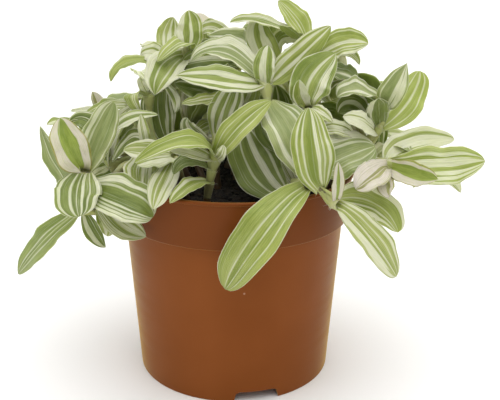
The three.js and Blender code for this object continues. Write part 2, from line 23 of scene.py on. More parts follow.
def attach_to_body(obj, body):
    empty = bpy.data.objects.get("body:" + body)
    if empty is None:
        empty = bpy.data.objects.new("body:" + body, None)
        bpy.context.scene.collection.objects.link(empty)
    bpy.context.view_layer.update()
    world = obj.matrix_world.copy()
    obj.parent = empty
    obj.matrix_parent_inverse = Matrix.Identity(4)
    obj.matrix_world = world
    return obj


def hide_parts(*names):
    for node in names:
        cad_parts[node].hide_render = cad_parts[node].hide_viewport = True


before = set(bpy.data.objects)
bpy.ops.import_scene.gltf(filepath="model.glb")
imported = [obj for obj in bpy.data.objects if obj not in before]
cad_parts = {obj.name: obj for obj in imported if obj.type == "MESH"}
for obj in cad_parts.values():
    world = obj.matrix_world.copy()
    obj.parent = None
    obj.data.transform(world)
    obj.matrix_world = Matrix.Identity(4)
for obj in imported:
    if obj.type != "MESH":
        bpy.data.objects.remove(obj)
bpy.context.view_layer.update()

logging.basicConfig(level=logging.INFO, format="%(message)s")
log = logging.getLogger("tradescantia")

Point = tuple[float, float, float]
Colour = tuple[float, float, float, float]
Bands = tuple[tuple[float, float], ...]
Face = tuple[int, ...]
Socket = bpy.types.NodeSocket
Value = Socket | float | tuple[float, ...]

MM = 0.001
BODY = "root"
UP = np.array([0.0, 0.0, 1.0])


# ---------------------------------------------------------------- small tools


def unit(v: np.ndarray) -> np.ndarray:
    """Scale vectors, laid along the last axis, to length one."""
    return v / np.maximum(np.linalg.norm(v, axis=-1, keepdims=True), 1e-9)


def smooth(x: np.ndarray | float) -> np.ndarray | float:
    """Ease from 0 to 1, and hold the ends."""
    x = np.clip(x, 0.0, 1.0)
    return x * x * (3 - 2 * x)


def scatter(k: float) -> float:
    """Give each number its own repeatable value from 0 to 1."""
    x = math.sin(k * 12.9898) * 43758.5453
    return x - math.floor(x)


def linear(red: int, green: int, blue: int) -> Colour:
    """Turn a screen colour into the linear colour that shaders use.

    Args:
        red: Red, 0 to 255.
        green: Green, 0 to 255.
        blue: Blue, 0 to 255.

    Returns:
        Linear red, green and blue, and an alpha of 1.
    """
    channels = [c / 255 for c in (red, green, blue)]
    lin = [c / 12.92 if c <= 0.04045 else ((c + 0.055) / 1.055) ** 2.4 for c in channels]
    return (lin[0], lin[1], lin[2], 1.0)


def path_point(path: np.ndarray, s: float) -> np.ndarray:
    """Find a point on the smooth curve through a path's points.

    Args:
        path: The points, one a row.
        s: Place along it. Whole numbers are the points themselves.

    Returns:
        The point.
    """
    last = len(path) - 1
    i = min(int(math.floor(s)), last - 1)
    f = s - i
    a, b, c, d = (path[max(i - 1, 0)], path[i], path[i + 1], path[min(i + 2, last)])
    square = (2 * a - 5 * b + 4 * c - d) * f * f
    cube = (3 * b - a - 3 * c + d) * f**3
    return 0.5 * (2 * b + (c - a) * f + square + cube)


def ring(radius: float, z: float, sides: int) -> list[Point]:
    """List the points of a level ring round the pot's axis."""
    turns = np.linspace(0, 2 * math.pi, sides, endpoint=False)
    return [(radius * math.cos(a), radius * math.sin(a), z) for a in turns]


def grid_faces(rows: int, columns: int, closed: bool = False, start: int = 0) -> list[Face]:
    """List the four-sided faces of a grid of points.

    Args:
        rows: Rows of points.
        columns: Points in a row.
        closed: Whether the last column joins the first.
        start: Index of the first point.

    Returns:
        The faces, which look along row direction x column direction.
    """
    faces = []
    for r in range(rows - 1):
        for c in range(columns if closed else columns - 1):
            a = start + r * columns + c
            b = start + r * columns + (c + 1) % columns
            faces.append((a, b, b + columns, a + columns))
    return faces


def tube_faces(rings: int, sides: int) -> list[Face]:
    """List the faces of a tube of rings, with its two ends closed."""
    ends = [tuple(reversed(range(sides))), tuple(range((rings - 1) * sides, rings * sides))]
    return grid_faces(rings, sides, closed=True) + ends


class MeshMaker:
    """Collects grids and tubes, then makes one Blender mesh object of them."""

    def __init__(self) -> None:
        """Start with nothing collected."""
        self.points: list[np.ndarray] = []
        self.faces: list[Face] = []
        self.slots: list[int] = []
        self.blade: list[np.ndarray] = []
        self.seeds: list[np.ndarray] = []
        self.count = 0

    def add(
        self,
        points: np.ndarray,
        faces: list[Face],
        slot: int = 0,
        blade: np.ndarray | None = None,
        seed: float = 0.0,
    ) -> None:
        """Add points and faces.

        Args:
            points: Points in millimetres, one a row.
            faces: Faces, as indices into points.
            slot: Material slot of the faces.
            blade: For each point, place across, place along and side of the blade.
            seed: Start of the random pattern, the same for all the points.
        """
        self.points.append(points)
        self.faces.extend(tuple(i + self.count for i in face) for face in faces)
        self.slots.extend([slot] * len(faces))
        self.blade.append(np.zeros((len(points), 3)) if blade is None else blade)
        self.seeds.append(np.full(len(points), seed))
        self.count += len(points)

    def make(self, name: str, materials: list[bpy.types.Material]) -> bpy.types.Object:
        """Make the object.

        Args:
            name: The object's name.
            materials: Its material slots, in order.

        Returns:
            The object, linked to the scene, smooth shaded.
        """
        mesh = bpy.data.meshes.new(name)
        mesh.from_pydata((np.concatenate(self.points) * MM).tolist(), [], self.faces)
        for material in materials:
            mesh.materials.append(material)
        mesh.polygons.foreach_set("material_index", self.slots)
        mesh.polygons.foreach_set("use_smooth", [True] * len(self.faces))
        blade = mesh.attributes.new("blade", "FLOAT_VECTOR", "POINT")
        blade.data.foreach_set("vector", np.concatenate(self.blade).astype(np.float32).ravel())
        seed = mesh.attributes.new("seed", "FLOAT", "POINT")
        seed.data.foreach_set("value", np.concatenate(self.seeds).astype(np.float32))
        mesh.update()
        piece = bpy.data.objects.new(name, mesh)
        bpy.context.scene.collection.objects.link(piece)
        return piece


def attach(piece: bpy.types.Object, slot: str, *nodes: str) -> None:
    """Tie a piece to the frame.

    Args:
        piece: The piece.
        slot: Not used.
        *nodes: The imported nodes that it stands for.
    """
    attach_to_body(piece, BODY)
    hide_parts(*nodes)


class Shader:
    """A material's node tree, written as short calls."""

    def __init__(self, name: str) -> None:
        """Make an empty material.

        Args:
            name: The material's name.
        """
        self.material = bpy.data.materials.new(name)
        self.material.use_nodes = True
        self.tree = self.material.node_tree
        self.tree.nodes.clear()

    def node(
        self, kind: str, inputs: dict[str | int, Value] | None = None, **settings: str
    ) -> bpy.types.Node:
        """Add a node.

        Args:
            kind: The node's Blender type, without "ShaderNode".
            inputs: Its inputs by name or number: a value, or a socket to link.
            **settings: Its own settings.

        Returns:
            The node.
        """
        made = self.tree.nodes.new("ShaderNode" + kind)
        for key, value in settings.items():
            setattr(made, key, value)
        for key, value in (inputs or {}).items():
            if isinstance(value, Socket):
                self.tree.links.new(value, made.inputs[key])
            else:
                made.inputs[key].default_value = value
        return made

    def position(self) -> Socket:
        """Read the place in the scene."""
        return self.node("NewGeometry").outputs["Position"]

    def split(self, vector: Socket) -> tuple[Socket, ...]:
        """Take a vector apart into its three numbers."""
        return tuple(self.node("SeparateXYZ", {0: vector}).outputs)

    def blade(self) -> tuple[Socket, ...]:
        """Read the place across, the place along and the side that the mesh carries."""
        return self.split(self.node("Attribute", attribute_name="blade").outputs["Vector"])

    def seed(self) -> Socket:
        """Read the start of the random pattern that the mesh carries."""
        return self.node("Attribute", attribute_name="seed").outputs["Fac"]

    def vector(self, x: Value, y: Value, z: Value) -> Socket:
        """Join three numbers."""
        return self.node("CombineXYZ", {0: x, 1: y, 2: z}).outputs[0]

    def calc(self, operation: str, *values: Value) -> Socket:
        """Do a sum, named as in the Math node."""
        return self.node("Math", dict(enumerate(values)), operation=operation).outputs[0]

    def times(self, first: Value, second: Value) -> Socket:
        """Multiply two numbers."""
        return self.calc("MULTIPLY", first, second)

    def plus(self, first: Value, second: Value) -> Socket:
        """Add two numbers."""
        return self.calc("ADD", first, second)

    def minus(self, first: Value, second: Value) -> Socket:
        """Take the second number from the first."""
        return self.calc("SUBTRACT", first, second)

    def ramp(
        self, value: Socket, low: float, high: float, to_low: float = 0.0, to_high: float = 1.0
    ) -> Socket:
        """Ease a value from the range low to high into the range to_low to to_high."""
        inputs = {0: value, 1: low, 2: high, 3: to_low, 4: to_high}
        return self.node("MapRange", inputs, interpolation_type="SMOOTHSTEP").outputs[0]

    def mix(self, amount: Value, first: Value, second: Value, blend: str = "MIX") -> Socket:
        """Lay a second colour on a first one, by an amount from 0 to 1."""
        inputs = {0: amount, 6: first, 7: second}
        return self.node("Mix", inputs, data_type="RGBA", blend_type=blend).outputs[2]

    def noise(self, place: Socket, scale: float, detail: float = 2.0, rough: float = 0.5) -> Socket:
        """Sample a noise texture, with a number of octaves and the strength of the finer ones."""
        inputs = {"Vector": place, "Scale": scale, "Detail": detail, "Roughness": rough}
        return self.node("TexNoise", inputs).outputs[0]

    def drawn_noise(self, place: tuple[Value, ...], scales: tuple[float, ...], detail: float) -> Socket:
        """Sample a noise that is drawn out, by scaling the first of a place's three numbers."""
        scaled = [self.times(value, scale) for value, scale in zip(place, scales)]
        return self.noise(self.vector(*scaled, *place[len(scales):]), 1.0, detail)

    def bump(self, height: Socket, strength: float, distance: float) -> Socket:
        """Turn a height into a bump, where a step of one is the distance."""
        inputs = {"Height": height, "Strength": strength, "Distance": distance}
        return self.node("Bump", inputs).outputs[0]

    def finish(
        self, colour: Value, roughness: Value, normal: Socket, **constants: Value
    ) -> bpy.types.Material:
        """Close the tree with a surface shader.

        Args:
            colour: Base colour.
            roughness: Roughness.
            normal: Normal.
            **constants: Other inputs of the shader, with spaces as underscores.

        Returns:
            The material.
        """
        inputs = {"Base Color": colour, "Roughness": roughness, "Normal": normal}
        inputs.update({key.replace("_", " "): value for key, value in constants.items()})
        surface = self.node("BsdfPrincipled", inputs)
        self.node("OutputMaterial", {"Surface": surface.outputs[0]})
        return self.material


# ---------------------------------------------------------------- finishes


class Look(Enum):
    """How a leaf is striped."""

    YOUNG = "young"
    GREEN = "green"
    EVEN = "even"
    BROAD = "broad"
    GREY = "grey"
    PALE = "pale"
    MARGIN = "margin"
    # painted shade: a darker copy of the leaf colours, for leaves deep in the plant
    SHADED = "dark"
    LINED = "lined"
    PINK = "pink"


@dataclass(frozen=True)
class LeafFinish:
    """Satin leaf, striped along its veins in green and cream.

    Attributes:
        green: Colour of the green stripes.
        deep: Colour of the greenest ones.
        pale_share: Share of the blade that is pale.
        stripes: How many pairs of stripes lie across the blade.
        centre: How much more green there is along the midrib. A negative one gives more cream.
        edge: Width of the pale margin, as a share of the half width.
        streaks: How much of the green is broken by fine pale lines.
        seed: Start of the random pattern.
        cream: Colour of the pale stripes.
        rim: How strongly the edge is lined in another colour.
        softness: How softly green and cream meet.
        roughness: How matt the leaf is.
        vein_lines: How many veins lie across the blade.
        vein_height: Height of a vein.
        base_tint: Colour of the sheath and of the blade's foot.
        rim_tint: Colour of the lined edge.
        under_tint: Colour that the underside leans to.
        foot: Colour of a sheath near the peat: brown, and darkened as painted shade of the plant's inside.
        foot_shade_height: Heights between which a sheath turns brown and takes that painted shade.
        foot_shade_spread: Squared distances from the pot's axis between which the brown and the painted shade
            end.
    """

    green: Colour
    deep: Colour
    pale_share: float
    stripes: float
    centre: float
    edge: float
    streaks: float
    seed: float
    cream: Colour = linear(215, 216, 187)
    rim: float = 0.0
    softness: float = 0.07
    roughness: float = 0.42
    vein_lines: float = 44.0
    vein_height: float = 0.00018
    base_tint: Colour = linear(186, 190, 112)
    rim_tint: Colour = linear(146, 136, 70)
    under_tint: Colour = linear(176, 182, 122)
    foot: Colour = linear(80, 62, 43)
    foot_shade_height: tuple[float, float] = (0.114, 0.105)
    foot_shade_spread: tuple[float, float] = (0.0034, 0.0025)

    def random_stripes(self, s: Shader, across: Socket, along: Socket, seed: Socket) -> Socket:
        """Lay out wide stripes at random.

        Args:
            s: The shader.
            across: Place across the blade.
            along: Place along it.
            seed: Start of the random pattern.

        Returns:
            How green each place is, 0 to 1.
        """
        place = (across, along, seed)
        wide = s.ramp(s.drawn_noise(place, (self.stripes * 0.62, 0.5), 1.0), 0.28, 0.72)
        fine = s.ramp(s.drawn_noise(place, (self.stripes * 1.7, 0.6), 1.0), 0.28, 0.72)
        both = s.plus(s.times(wide, 0.6), s.times(fine, 0.4))
        lean = s.times(s.minus(0.5, s.calc("ABSOLUTE", across)), self.centre)
        low, high = self.pale_share - self.softness, self.pale_share + self.softness
        return s.ramp(s.plus(both, lean), low, high)

    def laid_stripes(
        self, s: Shader, across: Socket, along: Socket, seed: Socket, bands: Bands
    ) -> Socket:
        """Lay out pale stripes at given places, with ragged edges.

        Args:
            s: The shader.
            across: Place across the blade.
            along: Place along it.
            seed: Start of the random pattern.
            bands: Centre and half width of each, as shares of the half width.

        Returns:
            How green each place is, 0 to 1.
        """
        rag = s.minus(s.drawn_noise((across, along, seed), (10.0, 1.5), 3.0), 0.5)
        swell = s.minus(s.drawn_noise((across, along, seed), (2.0, 2.6), 0.0), 0.5)
        pale = None
        for centre, half in bands:
            away = s.calc("ABSOLUTE", s.minus(across, centre))
            depth = s.plus(s.times(rag, min(0.34, half * 1.9)), away)
            depth = s.plus(s.times(swell, min(0.3, half * 1.5)), depth)
            band = s.ramp(depth, half + 0.03, half - 0.02, 0.0, min(1.0, 0.55 + 5.0 * half))
            pale = band if pale is None else s.calc("MAXIMUM", pale, band)
        return s.minus(1.0, pale)

    def lines(self, s: Shader, greenness: Socket, fine: Socket, pale_share: float) -> Socket:
        """Draw fine lines, pale in the green and green in the pale.

        Args:
            s: The shader.
            greenness: How green each place is.
            fine: A fine noise that runs along the blade.
            pale_share: How strong the pale lines are.

        Returns:
            How green each place is with the lines.
        """
        pale_lines = s.ramp(fine, 0.60, 0.68, 0.0, min(0.4, self.streaks * pale_share))
        green_lines = s.ramp(fine, 0.38, 0.30, 0.0, 0.5 * self.streaks)
        return s.calc("MAXIMUM", s.times(greenness, s.minus(1.0, pale_lines)), green_lines)

    def foot_brown_and_shade(self, s: Shader, along: Socket) -> Socket:
        """Find the sheaths near the peat.

        Args:
            s: The shader.
            along: Place along the leaf, which is negative on the sheath.

        Returns:
            How brown and darkened with painted shade each place is, 0 to 0.9.
        """
        x, y, height = s.split(s.position())
        spread = s.plus(s.times(x, x), s.times(y, y))
        near = s.times(s.ramp(height, *self.foot_shade_height), s.ramp(spread, *self.foot_shade_spread))
        return s.times(near, s.ramp(along, 0.03, -0.1, 0.0, 0.9))

    def material(self, name: str, bands: Bands = ()) -> bpy.types.Material:
        """Make the material.

        Args:
            name: The material's name.
            bands: Pale stripes at given places. Without them they are laid out at random.

        Returns:
            The material.
        """
        s = Shader(name)
        across, along, upper = s.blade()
        seed = s.plus(s.times(s.seed(), 31.7), self.seed)
        off_centre = s.calc("ABSOLUTE", across)
        wander = s.noise(s.vector(seed, s.times(along, 1.3), 0.0), 1.0, 1.0)
        swayed = s.plus(across, s.times(s.minus(wander, 0.5), 0.10))
        if bands:
            greenness = self.laid_stripes(s, swayed, along, seed, bands)
        else:
            greenness = self.random_stripes(s, swayed, along, seed)
        fine = s.drawn_noise((swayed, along, seed), (11.0 + self.stripes, 1.1), 1.0)
        greenness = self.lines(s, greenness, fine, 0.36 if bands else 0.7)
        margin = s.ramp(off_centre, 1.0 - 0.8 * self.edge, 1.0 - 0.3 * self.edge, 0.0, 0.75)
        greenness = s.times(greenness, s.minus(1.0, margin))

        # tones: the green is deeper in some bands, the cream a little mottled
        tone = s.drawn_noise((swayed, along, seed), (2.6, 0.9), 2.0)
        cells = s.drawn_noise((across, along, seed), (9.0, 7.0), 3.0)
        depth = s.ramp(s.plus(s.times(tone, 0.7), s.times(cells, 0.3)), 0.36, 0.66)
        cream = s.mix(s.ramp(cells, 0.35, 0.7, 0.04, 0.24), self.cream, self.green)
        colour = s.mix(greenness, cream, s.mix(depth, self.green, self.deep))
        colour = s.mix(s.ramp(along, 0.16, 0.0, 0.0, 0.6), colour, self.base_tint)
        colour = s.mix(s.ramp(along, 0.0, -0.3, 0.0, 0.85), colour, self.base_tint)
        colour = s.mix(s.ramp(off_centre, 0.88, 0.95, 0.0, self.rim), colour, self.rim_tint)
        # low sheaths near the pot's axis turn dark brown: partly their own brown, partly painted shade of the
        # plant's inside
        colour = s.mix(self.foot_brown_and_shade(s, along), colour, self.foot)

        # veins run from the base to the tip, and the underside is paler and greyer
        vein = s.calc("SINE", s.times(swayed, self.vein_lines * math.pi / 2))
        veined = s.ramp(vein, -1.0, 1.0, 0.94, 1.03)
        colour = s.mix(1.0, colour, s.vector(veined, veined, veined), "MULTIPLY")
        colour = s.mix(upper, s.mix(0.35, colour, self.under_tint), colour)
        height = s.plus(s.times(vein, 0.35), s.times(cells, 0.9))
        keel = s.ramp(off_centre, 0.0, 0.09, -0.9, 0.0)
        normal = s.bump(s.plus(height, keel), 0.55, self.vein_height)
        rough = s.ramp(cells, 0.3, 0.7, self.roughness - 0.05, self.roughness + 0.08)
        return s.finish(
            colour,
            rough,
            normal,
            Subsurface_Weight=0.25,
            Subsurface_Radius=(1.0, 1.2, 0.45),
            Subsurface_Scale=0.0012,
            Specular_IOR_Level=0.38,
            Sheen_Weight=0.06,
            Sheen_Roughness=0.45,
        )


ROSE_CREAM = linear(212, 203, 190)

# For each look the green and the deep green, then the share of pale, the stripes, the green at the
# centre, the edge, the streaks and the seed, and what differs from a cream leaf without a rim.
LEAF_FINISHES: dict[Look, LeafFinish] = {
    Look.YOUNG: LeafFinish(
        linear(148, 161, 72), linear(112, 131, 38), 0.42, 2.2, 1.15, 0.06, 0.25, 3.1, ROSE_CREAM, 0.8
    ),
    Look.GREEN: LeafFinish(linear(164, 173, 90), linear(130, 144, 54), 0.26, 5.0, 0.0, 0.07, 0.5, 11.4),
    Look.EVEN: LeafFinish(linear(155, 164, 84), linear(120, 135, 48), 0.46, 5.6, 0.0, 0.07, 0.5, 23.8),
    Look.BROAD: LeafFinish(linear(146, 158, 80), linear(108, 125, 42), 0.40, 3.2, 0.15, 0.08, 0.6, 37.2),
    Look.GREY: LeafFinish(linear(153, 161, 104), linear(125, 138, 76), 0.36, 3.6, 0.1, 0.07, 0.5, 41.9),
    Look.PALE: LeafFinish(linear(168, 175, 104), linear(138, 150, 68), 0.56, 4.4, 0.0, 0.08, 0.6, 53.3),
    Look.MARGIN: LeafFinish(linear(148, 159, 80), linear(114, 131, 50), 0.42, 2.4, 0.8, 0.10, 0.4, 67.7),
    # the shaded look: darker greens, painted shade for leaves deep in the plant
    Look.SHADED: LeafFinish(linear(122, 135, 62), linear(92, 107, 36), 0.28, 3.4, 0.0, 0.07, 0.6, 71.5),
    Look.LINED: LeafFinish(linear(168, 178, 94), linear(148, 160, 70), 0.12, 3.0, 0.0, 0.06, 0.5, 83.6),
    Look.PINK: LeafFinish(
        linear(158, 158, 98), linear(134, 132, 74), 0.55, 4.0, 0.0, 0.07, 0.7, 97.1, ROSE_CREAM
    ),
}


@dataclass(frozen=True)
class StemFinish:
    """Juicy pale green stem, brown and darkened with painted shade towards its foot, with fine stripes.

    Attributes:
        green: Colour of the stem.
        light: Colour of its stripes.
        purple: Colour of its blush and of its joints.
        foot: Colour of its foot: brown, and darkened as painted shade near the peat.
        foot_shade_height: Heights between which it turns brown and takes the painted shade.
    """

    green: Colour = linear(182, 190, 122)
    light: Colour = linear(206, 212, 158)
    purple: Colour = linear(140, 104, 84)
    foot: Colour = linear(88, 68, 47)
    foot_shade_height: tuple[float, float] = (0.116, 0.104)

    def material(self) -> bpy.types.Material:
        """Make the material.

        Returns:
            The material.
        """
        s = Shader("stem")
        around, along, joint = s.blade()
        position = s.position()
        height = s.split(position)[2]
        stripes = s.drawn_noise((around, along, 2.0), (9.0, 1.5), 2.0)
        mottle = s.noise(position, 260.0, 2.0)
        colour = s.mix(s.ramp(stripes, 0.42, 0.66, 0.0, 0.55), self.green, self.light)
        blush = s.times(s.ramp(mottle, 0.45, 0.7), 0.2)
        colour = s.mix(s.calc("MAXIMUM", blush, s.times(joint, 0.35)), colour, self.purple)
        # the foot darkens towards the peat: partly the stem's own brown, partly painted shade
        colour = s.mix(s.ramp(height, *self.foot_shade_height), colour, self.foot)
        normal = s.bump(s.plus(stripes, mottle), 0.5, 0.0003)
        return s.finish(colour, 0.42, normal, Subsurface_Weight=0.2, Subsurface_Scale=0.0015)


@dataclass(frozen=True)
class HairFinish:
    """Fine white hairs at the sheaths.

    Attributes:
        white: Colour of most hairs.
        dull: Colour of the others.
    """

    white: Colour = linear(238, 236, 222)
    dull: Colour = linear(214, 214, 190)

    def material(self) -> bpy.types.Material:
        """Make the material.

        Returns:
            The material.
        """
        s = Shader("hair")
        tint = s.noise(s.position(), 900.0)
        colour = s.mix(s.ramp(tint, 0.3, 0.7), self.white, self.dull)
        normal = s.bump(tint, 0.1, 0.0001)
        return s.finish(colour, 0.5, normal, Subsurface_Weight=0.3, Subsurface_Scale=0.0005)


@dataclass(frozen=True)
class PotFinish:
    """Terracotta-coloured moulded plastic, half matt, a little dusty.

    Attributes:
        body: Colour of the body.
        dark: Colour of its flow marks.
        collar: Darker colour that the collar leans to, painted shade from the leaves above.
        dust: Colour of the dust specks.
        collar_shade_height: Heights between which the collar's painted shade starts.
        roughness: How matt it is.
    """

    body: Colour = linear(131, 72, 29)
    dark: Colour = linear(122, 65, 22)
    collar: Colour = linear(106, 55, 20)
    dust: Colour = linear(205, 170, 140)
    collar_shade_height: tuple[float, float] = (0.0805, 0.0822)
    roughness: float = 0.40

    def material(self) -> bpy.types.Material:
        """Make the material.

        Returns:
            The material.
        """
        s = Shader("pot plastic")
        position = s.position()
        place = s.split(position)
        cloud = s.noise(position, 18.0, 3.0)
        grain = s.noise(position, 1400.0, 2.0)
        flow = s.drawn_noise(place, (60.0, 60.0, 7.0), 3.0)
        colour = s.mix(s.ramp(cloud, 0.3, 0.7), self.body, self.dark)
        colour = s.mix(s.ramp(flow, 0.35, 0.75, 0.0, 0.25), colour, self.dark)
        # painted shade: the collar turns darker, for the shade that the leaves above cast on it
        colour = s.mix(s.ramp(place[2], *self.collar_shade_height, 0.0, 0.7), colour, self.collar)
        cells = s.node("TexVoronoi", {"Vector": position, "Scale": 75.0}, feature="F1")
        sparse = s.ramp(s.noise(position, 48.0, 1.0), 0.60, 0.68)
        specks = s.times(s.ramp(cells.outputs["Distance"], 0.055, 0.03), sparse)
        colour = s.mix(s.times(specks, 0.5), colour, self.dust)
        scuff = s.drawn_noise(place, (30.0, 30.0, 260.0), 3.0)
        rough = s.ramp(scuff, 0.35, 0.7, self.roughness - 0.02, self.roughness + 0.05)
        normal = s.bump(s.plus(s.times(grain, 0.5), s.times(cloud, 1.5)), 0.3, 0.0002)
        return s.finish(
            colour,
            rough,
            normal,
            Specular_IOR_Level=0.09,
            Sheen_Weight=0.62,
            Sheen_Roughness=0.28,
            Sheen_Tint=linear(255, 222, 112),
        )


@dataclass(frozen=True)
class SoilFinish:
    """Dark damp peat with paler fibres.

    Attributes:
        dark: Colour of the damp peat.
        brown: Colour of its lumps.
        fibre: Colour of the fibres.
    """

    dark: Colour = linear(19, 17, 15)
    brown: Colour = linear(48, 38, 30)
    fibre: Colour = linear(70, 56, 42)

    def material(self) -> bpy.types.Material:
        """Make the material.

        Returns:
            The material.
        """
        s = Shader("peat")
        position = s.position()
        lumps = s.noise(position, 420.0, 5.0, 0.65)
        tint = s.noise(position, 130.0, 3.0)
        colour = s.mix(s.ramp(lumps, 0.40, 0.72), self.dark, self.brown)
        colour = s.mix(s.ramp(tint, 0.58, 0.72, 0.0, 0.5), colour, self.fibre)
        normal = s.bump(lumps, 1.0, 0.0012)
        return s.finish(colour, s.ramp(tint, 0.3, 0.7, 0.7, 0.95), normal, Specular_IOR_Level=0.25)


# ---------------------------------------------------------------- leafy stems


@dataclass(frozen=True)
class Leaf:
    """One leaf.

    Attributes:
        place: Where on the stem's path it sits.
        middle: The middle of its midrib.
        tip: Its tip.
        width: Its full width.
        facing: The way its upper face looks.
        cup: How far its sides rise.
        look: How it is striped.
        bands: Centre and half width of its pale stripes, as shares of the half width.
        point: How pointed its tip is, from 0.5 for a round one to 1.2 for a sharp one.
        widest: Where along it is widest.
    """

    place: float
    middle: Point
    tip: Point
    width: float
    facing: Point
    cup: float
    look: Look
    bands: Bands = ()
    point: float = 0.68
    widest: float = 0.42


@dataclass(frozen=True)
class Shoot:
    """Path and leaves of one leafy stem.

    Attributes:
        name: Its node.
        path: Points from the soil up.
        leaves: Its leaves.
    """

    name: str
    path: tuple[Point, ...]
    leaves: tuple[Leaf, ...]


@dataclass(frozen=True)
class Seat:
    """Where a leaf sits on its stem.

    Attributes:
        base: Where its midrib meets the stem's axis.
        axis: The stem's direction there.
        radius: Radius of the sheath's foot there.
        opening: How far the sheath opens, as a share of the flare.
        seed: Start of the leaf's random ripples and hairs.
    """

    base: np.ndarray
    axis: np.ndarray
    radius: float
    opening: float
    seed: float


@dataclass(frozen=True)
class Blade:
    """Shape that all the leaves share.

    Attributes:
        rows: Rows of points from base to tip.
        columns: Points across.
        thickness: Thickness at the midrib.
        base_share: Width at the sheath, as a share of the full width.
        least_half: Least half width, at the very tip.
        keel: How far both halves rise from the midrib.
        wave: Height of the waved edge, as a share of the width.
        waves: Waves along it.
        ripple: Height of the finer waves.
        ripples: Finer waves along it.
        waver: How far its outline swings in and out, as a share of the half width.
        swings: Swings along the left half and the right half.
        swing_start: Where the swing of the left half starts, in radians.
        edge_thinning: Share of the thickness that is lost at the edge.
        tip_thickness: Thickness of the tip, as a share of the blade's.
        tip_start: Where along the blade the tip starts to thin out.
        sheath_length: Length of the sheath round the stem.
        sheath_rows: Rows of points along the sheath.
        sheath_foot: Thickness of the sheath's foot, as a share of the blade's.
        clasp: How far the sheath's foot sinks into the stem.
        flare: How far the sheath opens towards its mouth.
        sheath_wrap: How far round the stem it reaches, to each side, in radians.
        departure: Share of the length over which the sheath opens into the blade.
        follow: How far along the stem the opening sheath follows it, as a share of the length.
        drift: How far from the stem it drifts meanwhile, as a share of the length.
    """

    rows: int = 32
    columns: int = 17
    thickness: float = 0.42
    base_share: float = 0.40
    least_half: float = 0.12
    keel: float = 0.12
    wave: float = 0.05
    waves: float = 2.5
    ripple: float = 0.028
    ripples: float = 5.3
    waver: float = 0.04
    swings: tuple[float, float] = (2.2, 1.8)
    swing_start: float = 2.1
    edge_thinning: float = 0.65
    tip_thickness: float = 0.5
    tip_start: float = 0.9
    sheath_length: float = 8.0
    sheath_rows: int = 7
    sheath_foot: float = 0.25
    clasp: float = 0.06
    flare: float = 1.5
    sheath_wrap: float = 2.6
    departure: float = 0.17
    follow: float = 0.35
    drift: float = 2.0 / 30

    def share(self, t: np.ndarray, widest: float, point: float) -> np.ndarray:
        """Half width at each place along, as a share of the greatest.

        Args:
            t: Places from base 0 to tip 1.
            widest: Where it is widest.
            point: How pointed its tip is.

        Returns:
            The shares.
        """
        rise = np.sin(np.clip(t / widest, 0, 1) * math.pi / 2) ** 1.2
        fall = (1 - np.clip((t - widest) / (1 - widest), 0, 1) ** 2.4) ** point
        return np.where(t < widest, self.base_share + (1 - self.base_share) * rise, fall)

    def midrib(self, base: np.ndarray, leaf: Leaf, t: np.ndarray) -> tuple[np.ndarray, ...]:
        """Bend the midrib through the leaf's middle to its tip.

        Args:
            base: Where it meets the stem's axis.
            leaf: The leaf.
            t: Places from base 0 to tip 1.

        Returns:
            At each place the point, the direction along and the direction that the upper face looks.
        """
        middle, tip = (np.array(p, dtype=float) for p in (leaf.middle, leaf.tip))
        facing = unit(np.array(leaf.facing, dtype=float))
        pull = 2 * middle - (base + tip) / 2
        chord = tip - base
        across = np.cross(pull - base, tip - pull)
        if np.linalg.norm(across) < 1e-3 * chord @ chord:
            across = np.cross(chord, facing)
        across = unit(across)
        lean = math.atan2(facing @ across, facing @ np.cross(across, unit(chord)))
        t = t[:, None]
        centre = (1 - t) ** 2 * base + 2 * t * (1 - t) * pull + t**2 * tip
        slope = unit((1 - t) * (pull - base) + t * (tip - pull))
        up = math.cos(lean) * np.cross(across, slope) + math.sin(lean) * across
        return centre, slope, up

    def outline(
        self, leaf: Leaf, seed: float, t: np.ndarray, u: np.ndarray
    ) -> tuple[np.ndarray, np.ndarray]:
        """Shape the blade's outline and its waves.

        Args:
            leaf: The leaf.
            seed: Start of its random ripples.
            t: Places from base 0 to tip 1.
            u: Places across, from -1 to 1.

        Returns:
            Half width and rise above the midrib, each rows x columns.
        """
        half = np.maximum(self.share(t, leaf.widest, leaf.point) * leaf.width / 2, self.least_half)
        fade = np.sin(math.pi * t)
        phase = 6.28 * scatter(seed + 5)
        wave = self.wave * leaf.width * np.sin(2 * math.pi * self.waves * t) * fade
        ripple = self.ripple * leaf.width * np.sin(2 * math.pi * self.ripples * t + phase) * fade
        start, swings = np.where(u < 0, self.swing_start, 0.0), np.where(u < 0, *self.swings)
        swing = start[None, :] + phase + 2 * math.pi * swings * t[:, None]
        half = half[:, None] * (1 - 0.4 * self.waver + self.waver * np.sin(swing))
        rise = half * (leaf.cup * u**2 + self.keel * np.abs(u))
        return half, rise + wave[:, None] * u + ripple[:, None] * np.abs(u) ** 3

    def surfaces(self, seat: Seat, leaf: Leaf) -> tuple[np.ndarray, np.ndarray, np.ndarray]:
        """Find the upper and lower surface of a leaf with its sheath.

        Args:
            seat: Where the leaf sits.
            leaf: The leaf.

        Returns:
            Upper and lower points, each rows x columns x 3, and the places along of the rows.
        """
        eased = np.linspace(0, 1, self.rows)
        blade_t = eased * 0.55 + 0.45 * (1 - np.cos(math.pi * eased)) / 2
        t = np.concatenate([np.linspace(-1, 0, self.sheath_rows, endpoint=False), blade_t])
        u = np.linspace(-1, 1, self.columns)
        on_blade, down = np.clip(t, 0, 1), np.clip(t, -1, 0)
        centre, slope, up = self.midrib(seat.base, leaf, on_blade)
        side = np.cross(slope, up)
        half, rise = self.outline(leaf, seat.seed, on_blade, u)
        flat = centre[:, None] + side[:, None] * (half * u)[..., None] + up[:, None] * rise[..., None]

